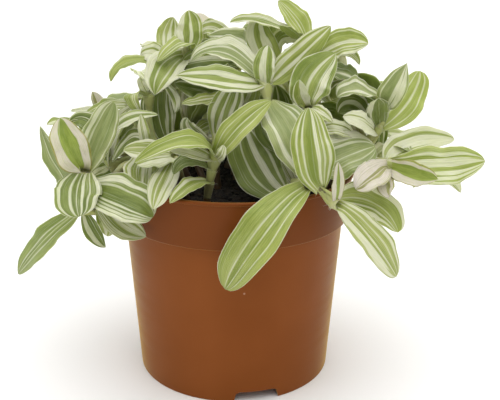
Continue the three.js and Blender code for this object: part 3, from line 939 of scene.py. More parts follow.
        # the sheath: a ring round the stem, open on the side away from the blade
        mouth = self.sheath_rows
        away = unit(slope[mouth]) - 0.6 * up[mouth]
        away = unit(away - seat.axis * (away @ seat.axis))
        beside = np.cross(seat.axis, away)
        beside = beside if beside @ side[mouth] > 0 else -beside
        turn = u * self.sheath_wrap
        radial = np.cos(turn)[:, None] * away + np.sin(turn)[:, None] * beside
        length = float(np.linalg.norm(np.array(leaf.tip, dtype=float) - seat.base))
        climb = down * self.sheath_length + on_blade * length * self.follow
        spread = seat.opening * self.flare * smooth(1 + down) ** 1.5
        reach = seat.radius - self.clasp + spread + self.drift * on_blade * length
        wrap = seat.base + seat.axis * climb[:, None, None] + radial * reach[:, None, None]

        # the sheath opens into the blade, and both thin out towards edge, tip and foot
        opened = smooth(on_blade / self.departure)[:, None, None]
        sheet = (1 - opened) * wrap + opened * flat
        outward = -np.broadcast_to(radial, sheet.shape)
        normal = unit((1 - opened) * outward + opened * np.broadcast_to(up[:, None], sheet.shape))
        thin = self.thickness * (1 - self.edge_thinning * np.abs(u) ** 5) / 2
        near_tip = smooth((on_blade - self.tip_start) / (1 - self.tip_start))
        foot_taper = self.sheath_foot + (1 - self.sheath_foot) * smooth(2 + 2 * down)
        taper = np.where(on_blade > self.tip_start, 1 - (1 - self.tip_thickness) * near_tip, foot_taper)
        offset = normal * (thin * taper[:, None])[..., None]
        return sheet + offset, sheet - offset, t

    def add_to(self, maker: MeshMaker, seat: Seat, leaf: Leaf, slot: int) -> np.ndarray:
        """Add a leaf with its sheath to a mesh.

        Args:
            maker: The mesh.
            seat: Where the leaf sits.
            leaf: The leaf.
            slot: Its material slot.

        Returns:
            The points along the sheath's mouth, where hairs grow.
        """
        upper, lower, t = self.surfaces(seat, leaf)
        rows, columns = upper.shape[:2]
        marks = []
        for side in (1.0, 0.0):
            mark = np.zeros((rows, columns, 3))
            mark[..., 0] = np.linspace(-1, 1, columns)
            mark[..., 1] = t[:, None]
            mark[..., 2] = side
            marks.append(mark.reshape(-1, 3))
        count = rows * columns
        faces = grid_faces(rows, columns)
        faces += [tuple(reversed(face)) for face in grid_faces(rows, columns, start=count)]
        for r in range(rows - 1):
            left, right = r * columns, r * columns + columns - 1
            faces.append((left, left + columns, left + columns + count, left + count))
            faces.append((right + count, right + columns + count, right + columns, right))
        for c in range(columns - 1):
            end = (rows - 1) * columns + c
            faces.append((c + 1, c, c + count, c + 1 + count))
            faces.append((end, end + 1, end + 1 + count, end + count))
        points = np.concatenate([upper.reshape(-1, 3), lower.reshape(-1, 3)])
        maker.add(points, faces, slot, np.concatenate(marks), scatter(seat.seed))
        return lower[self.sheath_rows]


@dataclass(frozen=True)
class LeafyStem:
    """Grows one leafy stem.

    Attributes:
        foot_z: How deep the stem stands in the soil.
        foot_radius: Its radius there.
        tip_radius: Its radius at the tip.
        sides: Points round it.
        steps: Rings between two points of the path.
        slimness: Radius over the soil, as a share of the radius in it.
        blunt: Radius of its blunt end, as a share of the tip's.
        joint: How far a joint swells.
        joint_sharpness: How short the swelling is.
        layer: How far each of three neighbouring sheaths lies round the one before it.
        hairs: Hairs at each sheath.
        hair_length: Length of a hair.
        hair_radius: Its radius at the root.
        hair_depth: How deep its root sits.
        hair_spread: How far the hairs stand in all directions.
        hair_lift: How far they point up.
        blade: Shape of its leaves.
    """

    foot_z: float = 84.0
    foot_radius: float = 2.0
    tip_radius: float = 1.5
    sides: int = 14
    steps: int = 10
    slimness: float = 0.94
    blunt: float = 0.5
    joint: float = 0.22
    joint_sharpness: float = 9.0
    layer: float = 0.12
    hairs: int = 22
    hair_length: float = 1.5
    hair_radius: float = 0.045
    hair_depth: float = 0.2
    hair_spread: float = 0.9
    hair_lift: float = 0.35
    blade: Blade = field(default_factory=Blade)

    def radius(self, share: float) -> float:
        """Radius of the stem, from its foot at 0 to its tip at 1."""
        return self.foot_radius + (self.tip_radius - self.foot_radius) * share

    def add_stem(self, maker: MeshMaker, path: np.ndarray, places: list[float]) -> None:
        """Add the stem.

        Args:
            maker: The mesh.
            path: The path's points.
            places: Where the leaves sit, which is where it has joints.
        """
        last = len(path) - 1
        where = np.linspace(0, last, last * self.steps + 1)
        line = [np.array([path[0][0], path[0][1], self.foot_z])] + [path_point(path, s) for s in where]
        rings, marks = [], []
        across = np.array([1.0, 0.0, 0.0])
        angles = np.linspace(0, 2 * math.pi, self.sides, endpoint=False)
        travelled = 0.0
        for i, point in enumerate(line):
            before, after = line[max(i - 1, 0)], line[min(i + 1, len(line) - 1)]
            along = UP if i < 2 else unit(after - before)
            across = unit(across - along * (across @ along))
            side = np.cross(along, across)
            near = min(abs(where[max(i - 1, 0)] - p) for p in places)
            swell = self.joint * math.exp(-((near * self.joint_sharpness) ** 2))
            radius = self.radius(i / (len(line) - 1)) * (self.slimness if i else 1.0) + swell
            radius *= 1.0 if i < len(line) - 1 else self.blunt
            travelled += float(np.linalg.norm(point - before))
            rings.append(point + radius * (np.cos(angles)[:, None] * across + np.sin(angles)[:, None] * side))
            mark = np.zeros((self.sides, 3))
            mark[:, 0] = np.abs(angles - math.pi) / math.pi
            mark[:, 1] = travelled / 10
            mark[:, 2] = swell / self.joint
            marks.append(mark)
        maker.add(np.concatenate(rings), tube_faces(len(rings), self.sides), 0, np.concatenate(marks))

    def add_hairs(self, maker: MeshMaker, mouth: np.ndarray, seat: Seat) -> None:
        """Add the hairs round a sheath's mouth.

        Args:
            maker: The mesh.
            mouth: Points along the mouth.
            seat: Where the leaf sits.
        """
        for h in range(self.hairs):
            draw = seat.seed + 3 * h
            s = scatter(draw) * (len(mouth) - 1)
            i = min(int(s), len(mouth) - 2)
            root = mouth[i] + (mouth[i + 1] - mouth[i]) * (s - i)
            jitter = np.array([scatter(draw + j) - 0.5 for j in (0.3, 0.6, 0.9)])
            way = unit(unit(root - seat.base) + self.hair_spread * jitter + self.hair_lift * UP)
            length = self.hair_length * (0.6 + 0.8 * scatter(draw + 1))
            aside = unit(np.cross(way, UP + 0.1))
            other = np.cross(way, aside)
            start = root - self.hair_depth * way
            foot = [self.hair_radius * (math.cos(a) * aside + math.sin(a) * other) for a in (0.0, 2.1, 4.2)]
            points = np.array([start + corner for corner in foot] + [root + way * length])
            maker.add(points, [(0, 1, 3), (1, 2, 3), (2, 0, 3), (2, 1, 0)], 1)

    def seat(self, path: np.ndarray, place: float, k: int, seed: float) -> Seat:
        """Find where a leaf sits.

        Args:
            path: The stem's path.
            place: Place along it.
            k: Number of the leaf, because sheaths at one place lie round each other.
            seed: Start of its random ripples and hairs.

        Returns:
            The seat.
        """
        share = place / (len(path) - 1)
        end = min(place + 0.02, len(path) - 1)
        axis = unit(path_point(path, end) - path_point(path, end - 0.06))
        radius = self.radius(share) * self.slimness + self.layer * (k % 3)
        return Seat(path_point(path, place), axis, radius, 0.2 + 0.8 * share**3, seed)

    def grow(
        self,
        shoot: Shoot,
        stem_material: bpy.types.Material,
        hair_material: bpy.types.Material,
        leaf_material: Callable[[Leaf], bpy.types.Material],
    ) -> bpy.types.Object:
        """Grow the stem with its leaves as one piece.

        Args:
            shoot: Its path and leaves.
            stem_material: Material of the stem.
            hair_material: Material of the hairs.
            leaf_material: Function that gives a leaf's material.

        Returns:
            The piece, which stands for the node of its name.
        """
        path = np.array(shoot.path, dtype=float)
        materials = [stem_material, hair_material]
        maker = MeshMaker()
        self.add_stem(maker, path, [leaf.place for leaf in shoot.leaves])
        start = 100.0 * scatter(sum(map(ord, shoot.name)))
        for k, leaf in enumerate(shoot.leaves):
            material = leaf_material(leaf)
            if material not in materials:
                materials.append(material)
            seat = self.seat(path, leaf.place, k, start + 7.3 * k)
            mouth = self.blade.add_to(maker, seat, leaf, materials.index(material))
            self.add_hairs(maker, mouth, seat)
        piece = maker.make(shoot.name.replace("stem_", "grown_"), materials)
        attach(piece, "foliage", shoot.name)
        return piece


# ---------------------------------------------------------------- the plant

# The stems that show from the front: the points of the path from the soil up, then the leaves, each
# as place, middle, tip, width, facing, cup and look. Some also have the pale stripes, how pointed
# the tip is, and where the leaf is widest.
LAID_SHOOTS: tuple[Shoot, ...] = (
    Shoot(
        "stem_left_front",
        ((-30, -14, 96), (-50, -20, 112), (-63, -27, 98), (-71, -32, 93), (-72, -30, 101), (-70, -30, 111)),
        (
            Leaf(5, (-75, -33, 123.5), (-80, -28, 136), 17, (0.15, -1, 0.25), 0.35, Look.YOUNG,
                 ((-0.66, 0.27), (0.66, 0.24))),
            Leaf(4, (-81.5, -24, 111), (-92, -18, 130), 14.5, (-0.6, -0.75, 0.1), 0.15, Look.GREY,
                 ((-0.35, 0.04), (0.4, 0.05), (0.75, 0.04)), 0.85),
            Leaf(5, (-71, -44, 105), (-69, -54, 97), 22, (0, -0.8, 0.6), -0.05, Look.SHADED,
                 ((0.8, 0.06), (0.3, 0.05), (0.02, 0.03), (-0.22, 0.07), (-0.52, 0.05), (-0.86, 0.09)), 0.44),
            Leaf(4.3, (-49, -50, 104), (-36, -54, 97), 22, (0.05, -0.75, 0.65), 0.05, Look.SHADED,
                 ((-0.73, 0.15), (-0.4, 0.04), (0.36, 0.05), (0.54, 0.045), (0.72, 0.05), (0.92, 0.09)),
                 0.55),
            Leaf(4.9, (-64, -23, 127), (-57, -15, 141), 16, (0.45, -0.85, 0.2), 0.1, Look.GREY,
                 ((-0.68, 0.13), (-0.33, 0.04), (0.82, 0.05)), 0.55),
            Leaf(3, (-91.2, -24, 75.6), (-112, -6, 49), 13.5, (-0.3, -0.85, 0.5), 0.1, Look.BROAD,
                 ((-0.3, 0.04), (0.3, 0.05), (0.05, 0.02)), 0.68, 0.56),
            Leaf(3, (-67, -33, 82), (-61, -35, 75), 8, (0, -0.9, 0.4), 0.2, Look.SHADED,
                 ((0.35, 0.3), (-0.5, 0.03)), 0.85),
            Leaf(2.2, (-60, -34, 88), (-60, -36, 81), 9, (0, -0.9, 0.4), 0.1, Look.PALE),
            Leaf(2.2, (-52, -40, 88), (-40, -50, 86), 13, (0.1, -0.8, 0.5), 0.1, Look.EVEN),
        ),
    ),
    Shoot(
        "stem_left_low",
        ((-36, -6, 96), (-49, -9, 111), (-61, -11, 108)),
        (
            Leaf(2, (-56, -13, 128), (-36, -16, 135), 11, (-0.7, -0.4, 0.6), 0.1, Look.BROAD),
            Leaf(2, (-59, -1, 124), (-48, -2, 137), 9, (-0.3, -0.8, 0.5), 0.1, Look.EVEN),
            Leaf(2, (-71.5, 0, 126.5), (-82, 0, 126.5), 11, (-0.2, -0.6, 0.8), 0.1, Look.SHADED),
            Leaf(1.8, (-65, -12, 104), (-73, -13, 102), 14, (0, -0.9, 0.4), 0.1, Look.SHADED),
        ),
    ),
    Shoot(
        "stem_left_back",
        ((-38, 8, 96), (-47, 9, 118), (-52, 8, 134)),
        (
            Leaf(2, (-64, 8, 134), (-75, 6, 129), 10, (-0.2, -0.5, 0.85), 0.1, Look.EVEN),
            Leaf(2, (-76, 15, 131), (-83, 15, 130), 4, (0, -0.5, 0.9), 0.1, Look.PALE),
        ),
    ),
    Shoot(
        "stem_left_bud",
        ((-30, 0, 96), (-41, 1, 122), (-42, 1, 141)),
        (
            Leaf(2, (-45, 2, 146), (-46, 2, 150), 4.5, (0, -1, 0.2), 0.1, Look.PALE, (), 0.6),
            Leaf(2, (-49, -5, 142), (-45, -8, 134), 9, (-0.6, -0.5, 0.7), 0.1, Look.GREEN),
        ),
    ),
    Shoot(
        "stem_left_inner",
        ((-34, -20, 96), (-41, -22, 118)),
        (
            Leaf(1, (-42, -32, 111), (-41, -47, 107), 19, (0, -0.7, 0.7), 0.05, Look.EVEN),
            Leaf(1, (-42, -24, 128), (-43.5, -22, 136.5), 5.5, (0, -1, 0), 0.1, Look.PALE),
            Leaf(1, (-47.5, -18, 124), (-58, -20, 113), 10, (0, -0.6, 0.8), 0.1, Look.SHADED),
        ),
    ),
    Shoot(
        "stem_front_inner",
        ((-23, -22, 96), (-27, -29, 118)),
        (
            Leaf(1, (-39, -31, 121), (-51, -32, 122), 11, (0, -0.8, 0.6), 0.1, Look.PALE),
            Leaf(1, (-36, -36, 119), (-44, -40, 117), 13, (0, -0.6, 0.8), 0.1, Look.EVEN),
            Leaf(1, (-32, -47, 110), (-35, -61, 103), 12, (0, -0.8, 0.6), 0.1, Look.PALE),
        ),
    ),
    Shoot(
        "stem_left_top",
        ((-24, 12, 96), (-36, 13, 122), (-36, 12, 146), (-35, 13, 155), (-23, 16, 160)),
        (
            Leaf(2, (-38, 8, 132), (-33, 4, 115), 17.5, (0, -1, 0.2), 0.05, Look.SHADED),
            Leaf(2, (-29, 0, 140), (-29, -3, 133), 4.8, (0, -1, 0.2), 0.1, Look.BROAD),
            Leaf(4, (-22, 20, 170), (-23, 24, 180), 13.5, (0, -1, 0.1), 0.1, Look.EVEN,
                 ((-0.78, 0.24), (0.07, 0.12), (0.75, 0.05))),
            Leaf(3.3, (-33, 28, 166), (-31, 30, 176), 14, (-0.1, -1, 0.1), 0.1, Look.PALE,
                 ((-0.45, 0.08), (0, 0.13), (0.45, 0.1), (0.85, 0.12))),
            Leaf(4, (-26, 6, 166), (-37, -2, 158), 11, (0.1, -0.3, 0.95), 0.1, Look.GREEN,
                 ((-0.5, 0.06), (0, 0.04), (0.55, 0.07))),
            Leaf(3.8, (-34, -1, 154), (-38, -8, 143), 18.5, (-0.1, -0.95, 0.35), 0.1, Look.MARGIN,
                 ((0.84, 0.22), (0.23, 0.035), (-0.3, 0.04), (-0.84, 0.22)), 0.95),
            Leaf(3, (-53, 9, 156), (-61, 6, 147), 8.5, (0, -0.45, 0.9), 0.1, Look.GREEN, ((0.85, 0.03),)),
            Leaf(3.1, (-41, 14, 160), (-47, 16, 158), 11, (0, -0.8, 0.6), 0.1, Look.PALE),
        ),
    ),
    Shoot(
        "stem_back_top",
        ((0, 22, 96), (-1, 27, 130), (4, 26, 160)),
        (
            Leaf(2, (3.5, 20, 166.5), (-13, 18, 168), 11.5, (0, -0.7, 0.7), 0.1, Look.GREY),
            Leaf(2, (-10, 32, 169), (-17, 32, 167), 11, (0, -0.8, 0.6), 0.1, Look.EVEN),
            Leaf(2, (-13, 22, 163), (-22, 26, 159), 7, (0, -0.6, 0.8), 0.1, Look.SHADED,
                 ((0.3, 0.2), (-0.6, 0.06))),
            Leaf(1.7, (-13, 13, 156.5), (-26.5, 7.5, 154), 15, (0, -0.9, 0.4), 0.1, Look.SHADED),
        ),
    ),
    Shoot(
        "stem_centre_top",
        ((14, -8, 96), (17, -13, 120), (16, -16, 140), (15, -13, 148)),
        (
            Leaf(3, (-6, -24, 153), (-26, -30, 156), 14, (0, -0.75, 0.65), 0.1, Look.BROAD,
                 ((0.45, 0.2), (-0.34, 0.18), (-0.88, 0.14)), 0.9),
            Leaf(3, (-4, -6, 163), (-21, -2, 158), 16.5, (-0.1, -0.45, 0.9), 0.3, Look.GREY,
                 ((0.72, 0.18), (0.35, 0.05), (-0.1, 0.04), (-0.8, 0.1))),
            Leaf(3, (14, -15, 158), (16, -11, 167), 10.5, (0, -1, 0.15), 0.1, Look.BROAD,
                 ((-0.14, 0.28), (0.88, 0.14))),
            Leaf(3, (30, -8, 161), (46, -2, 175), 13.5, (0.2, -0.9, 0.3), 0.1, Look.GREEN,
                 ((-0.52, 0.13), (0.1, 0.13), (-0.9, 0.05))),
            Leaf(2.1, (25, -36, 131), (33, -42, 111), 22, (0.2, -0.9, 0.4), 0.05, Look.GREY,
                 ((0.62, 0.12), (-0.5, 0.03), (-0.74, 0.04))),
            Leaf(1.8, (14, -18, 128), (20, -23, 119), 9, (0, -1, 0.2), 0.1, Look.SHADED),
            Leaf(1.2, (23, -21, 111), (30, -27, 101), 11, (0, -0.9, 0.4), 0.1, Look.PALE),
        ),
    ),
    Shoot(
        "stem_top",
        ((18, 10, 96), (23, 9, 125), (31, 9, 150), (36, 13, 166)),
        (
            Leaf(3, (31, 16, 176), (22, 20, 185), 12.5, (0.2, -0.85, 0.5), 0.1, Look.LINED,
                 ((-0.7, 0.05), (-0.4, 0.04), (-0.1, 0.05), (0.15, 0.03), (0.75, 0.04))),
            Leaf(3, (14, 11, 176), (-2, 9, 175.5), 9, (0, -0.45, 0.9), 0.1, Look.EVEN),
            Leaf(2.9, (28, 5, 172), (22, 1, 175), 8, (0, -0.3, -0.9), 0.1, Look.LINED),
            Leaf(3, (25, 18, 168), (21, 13, 161), 9, (0, -1, 0.3), 0.1, Look.EVEN),
            Leaf(1.6, (14, 12, 164), (13, 15, 176), 14.5, (0, -1, 0.2), 0.1, Look.EVEN,
                 ((-0.6, 0.24), (0.28, 0.24)), 0.55),
            Leaf(1, (22, 2, 136), (20, -2, 147), 14, (0, -1, 0.2), 0.1, Look.SHADED),
        ),
    ),
    Shoot(
        "stem_right_top",
        ((38, 6, 96), (42, 7, 130), (41, 7, 159)),
        (
            Leaf(2, (53, 4, 166), (65, 2, 166), 15.5, (0.1, -0.8, 0.6), 0.1, Look.GREEN,
                 ((-0.8, 0.06), (-0.05, 0.13), (0.35, 0.05), (0.58, 0.04), (0.85, 0.13))),
            Leaf(2, (56, 11, 161), (62, 8, 155), 5, (0.8, -0.5, 0), 0.1, Look.GREEN),
            Leaf(1.6, (51, 2, 152), (59, -4, 149), 15, (0, -0.4, 0.9), 0.1, Look.SHADED),
            Leaf(0.9, (47, 2, 131), (54, 0, 128), 14, (0, -0.9, 0.4), 0.1, Look.SHADED),
        ),
    ),
    Shoot(
        "stem_centre_right",
        ((28, -12, 96), (33, -16, 120), (35, -19, 139)),
        (
            Leaf(2, (36, -17, 151), (48, -9, 163), 20, (0.05, -0.95, 0.3), 0.05, Look.MARGIN,
                 ((-0.08, 0.07), (0.38, 0.02), (0.58, 0.15))),
            Leaf(1.95, (31, -20, 145), (30, -23, 153), 8, (0, -1, 0.1), 0.2, Look.GREEN,
                 ((0.55, 0.45), (-0.85, 0.08))),
            Leaf(1.95, (39, -28, 139), (45, -33, 135), 7, (0, -0.7, 0.7), 0.1, Look.PALE),
        ),
    ),
    Shoot(
        "stem_middle",
        ((-8, -8, 96), (-9, -9, 120), (-4, -4, 142)),
        (
            Leaf(1.1, (-4, -12, 137), (1.5, -5, 149), 16, (-0.2, -0.95, 0.3), 0.05, Look.BROAD,
                 ((-0.62, 0.1), (-0.12, 0.1), (0.42, 0.16), (0.85, 0.08))),
            Leaf(1, (5.5, -6, 137.5), (8, -6, 151), 12, (-0.3, -0.9, 0.3), 0.1, Look.GREEN, (), 0.5),
            Leaf(2, (-14, -6, 139.8), (-25, -10, 139), 11, (0, -0.3, 0.95), 0.1, Look.GREEN),
            Leaf(2, (-18, 6, 143), (-29, -1, 147), 19, (0, -0.6, 0.8), 0.1, Look.SHADED),
            Leaf(0.9, (-21, -14, 127), (-22, -14, 133), 8, (0, -1, 0.2), 0.1, Look.GREY),
        ),
    ),
    Shoot(
        "stem_front_left",
        ((-13, -33, 96), (-11, -34, 108), (-9, -34, 118)),
        (
            Leaf(1.4, (-21, -41, 119), (-27, -45, 114), 8, (0, -0.5, 0.8), 0.1, Look.SHADED),
            Leaf(0.9, (-19, -48, 110), (-28, -59, 105), 9, (0, -0.5, 0.85), 0.1, Look.GREEN),
            Leaf(2, (-20, -47, 130), (-44, -51, 121), 12, (0, -0.5, 0.85), 0.15, Look.GREEN,
                 ((-0.62, 0.07), (0.45, 0.03))),
            Leaf(1.9, (-20, -44, 125), (-29, -46, 126), 8, (0, -0.8, 0.6), 0.1, Look.PALE),
            Leaf(2, (2, -36, 134), (17, -27, 144), 12.5, (-0.15, -0.9, 0.4), 0.1, Look.GREEN,
                 ((-0.5, 0.03), (0.05, 0.03), (0.5, 0.03))),
            Leaf(2, (-6, -40, 122), (-5, -39, 126), 5, (0, -1, 0.2), 0.2, Look.PALE),
        ),
    ),
    Shoot(
        "stem_front",
        ((22, -31, 96), (30, -44, 109), (38, -51, 108.5), (45, -53, 103)),
        (
            Leaf(0.3, (10, -22, 112), (4, -12, 130), 24, (0, -0.9, 0.4), 0.05, Look.SHADED,
                 ((-0.3, 0.03), (0.27, 0.14), (0.68, 0.05))),
            Leaf(2, (34, -53, 127), (33, -43, 144), 19, (0, -1, 0.2), 0.05, Look.EVEN,
                 ((-0.72, 0.05), (-0.45, 0.05), (0.25, 0.08), (0.52, 0.04), (0.76, 0.06))),
            Leaf(1.3, (12, -71, 97), (-4, -63, 66), 20.5, (-0.1, -0.85, 0.5), 0.05, Look.EVEN,
                 ((0.16, 0.03), (-0.2, 0.03), (-0.62, 0.03)), 0.58, 0.58),
            Leaf(2.9, (59.5, -57, 90), (75, -50, 66.5), 15, (0.1, -0.85, 0.6), 0.1, Look.PALE,
                 ((0.62, 0.22), (0.05, 0.06), (-0.4, 0.04), (-0.78, 0.1)), 0.6, 0.62),
            Leaf(2.7, (64, -40, 98), (75, -47, 87), 20, (0.1, -0.7, 0.7), 0.05, Look.GREEN,
                 ((-0.82, 0.16), (-0.1, 0.03), (0.25, 0.05), (0.6, 0.12)), 0.52),
            Leaf(3, (45, -58, 113), (45, -57, 123), 6, (0.3, -1, 0), 0.2, Look.YOUNG,
                 ((-0.55, 0.4), (0.65, 0.3))),
        ),
    ),
    Shoot(
        "stem_front_right",
        ((33, -26, 96), (38, -33, 112), (39, -26, 129)),
        (
            Leaf(1, (51, -33, 120), (66, -25, 122), 24, (0, -0.75, 0.65), 0.05, Look.GREY,
                 ((-0.78, 0.2), (-0.4, 0.04), (0.1, 0.02), (0.45, 0.02), (0.7, 0.02)), 0.6),
            Leaf(2, (48, -27, 131), (57, -26, 126), 8.5, (0, -0.7, 0.7), 0.1, Look.EVEN),
        ),
    ),
    Shoot(
        "stem_right_upper",
        ((46, -6, 96), (62, -8, 118), (70, -9, 126), (73, -7, 138)),
        (
            Leaf(3, (59, -12, 145), (49, -14, 143), 17, (0, -0.35, 0.95), 0.3, Look.GREY,
                 ((0.7, 0.1), (0.05, 0.13), (-0.8, 0.15))),
            Leaf(3, (65, 3, 145), (55, 5, 145), 14, (0, -1, -0.1), 0.1, Look.SHADED, ((-0.5, 0.05),)),
            Leaf(2.8, (75.5, -14, 147), (81.5, -12, 159), 13, (-0.3, -0.95, 0.1), 0.2, Look.GREY,
                 ((-0.72, 0.06), (0.2, 0.1), (0.6, 0.18)), 1.15),
            Leaf(2, (85.3, 2, 138), (92.2, 8, 152), 17, (0.1, -0.95, 0.3), 0.05, Look.LINED,
                 ((0.12, 0.05), (0.62, 0.05), (-0.42, 0.04)), 0.5),
            Leaf(2.1, (68, -14, 136), (67, -22, 144), 13, (0, -0.9, 0.3), -0.1, Look.SHADED),
            Leaf(1.8, (58.5, -8, 136), (50, -12, 135), 16.5, (0, -0.7, 0.75), 0.05, Look.SHADED),
            Leaf(1.8, (60, -25, 133), (50, -29, 137), 11, (0, -0.8, 0.6), 0.1, Look.PALE),
        ),
    ),
    Shoot(
        "stem_right",
        ((44, -18, 96), (56, -23, 113), (72, -28, 114)),
        (
            Leaf(1.8, (85, -15.5, 121), (105, -18.5, 123.5), 14.5, (0, -0.7, 0.7), 0.1, Look.PALE,
                 ((0, 0.42), (0.75, 0.3), (-0.85, 0.2)), 0.55),
            Leaf(2, (95, -36, 115), (112, -46, 120.5), 20, (0, -0.8, 0.6), 0.05, Look.GREEN,
                 ((-0.62, 0.06), (-0.15, 0.2), (0.34, 0.09), (0.66, 0.08), (0.9, 0.06)), 0.6),
            Leaf(1.9, (99, -12, 107), (112, -12, 95), 8, (0, -1, 0.2), 0.1, Look.PALE),
            Leaf(2, (81, -45, 113), (89, -56, 115), 12, (0, -0.9, 0.45), 0.35, Look.YOUNG,
                 ((0.62, 0.32), (-0.78, 0.12))),
            Leaf(2, (62, -46, 114), (54, -51, 109), 14, (-0.2, -0.85, 0.45), 0.05, Look.PINK,
                 ((0.55, 0.5), (-0.15, 0.04), (-0.65, 0.25)), 0.6),
            Leaf(1.95, (68, -42, 109), (70, -47, 104), 10, (0.1, -0.9, 0.4), 0.05, Look.PINK,
                 ((0.3, 0.5), (-0.7, 0.2))),
        ),
    ),
)


@dataclass(frozen=True)
class RuledShoot:
    """What sets one shoot of the back or the inside apart from the others.

    Attributes:
        name: Its node.
        azimuth: The way it leans, in degrees.
        out: Distance of its tip from the pot's axis.
        height: Height of its tip.
        turn: Azimuth of its first leaf, in degrees.
        places: Places for leaves.
        seed: Start of its random draws.
        bend: How far its tip swings aside, in degrees.
        scale: Size of its leaves.
        bare: Places left without a leaf, because a neighbour fills them.
    """

    name: str
    azimuth: float
    out: float
    height: float
    turn: float
    places: int
    seed: int
    bend: float
    scale: float
    bare: tuple[int, ...] = ()


# The stems of the back and the inside, each as name, azimuth, distance out, height, turn, places
# for leaves, seed, bend, scale and bare places.
RULED_SHOOTS: tuple[RuledShoot, ...] = (
    RuledShoot("stem_back_right_low", 26, 80, 106, 33, 6, 43, 0, 0.95, (1,)),
    RuledShoot("stem_back_right", 42, 63, 132, 277, 7, 357, -10, 1, (0,)),
    RuledShoot("stem_back_mid_right", 63, 47, 145, 127, 7, 205, 2, 1, (1, 3)),
    RuledShoot("stem_back_mid_left", 121, 49, 148, 120, 7, 51, -16, 1),
    RuledShoot("stem_back_left", 146, 62, 135, 46, 7, 57, -16, 1, (0,)),
    RuledShoot("stem_back_left_low", 157, 70, 111, 135, 6, 63, 7, 0.95, (1,)),
    RuledShoot("stem_rim_right", 63, 62, 114, 350, 6, 27, -1, 0.8),
    RuledShoot("stem_rim_back", 96, 53, 112, 189, 6, 395, -11, 0.75),
    RuledShoot("stem_rim_left", 130, 64, 107, 63, 6, 139, -9, 0.8),
    RuledShoot("stem_inner_left", 155, 28, 120, 257, 6, 327, -13, 0.8, (0, 1, 2)),
    RuledShoot("stem_inner_mid", 84, 18, 124, 220, 6, 74, -18, 0.8, (2,)),
    RuledShoot("stem_inner_right", 10, 35, 129, 168, 6, 358, -15, 0.8, (0, 2, 3)),
    RuledShoot("stem_side_right", -5, 75, 107, 14, 5, 266, 10, 0.75, (4,)),
    RuledShoot("stem_side_left", 176, 87, 100, 350, 5, 144, 0, 0.7, (4,)),
)


class Draw(Enum):
    """Offsets that keep the random draws for one leaf apart."""

    LENGTH = 0
    RISE = 40
    TURN = 80
    WIDTH = 120
    LOOK = 160


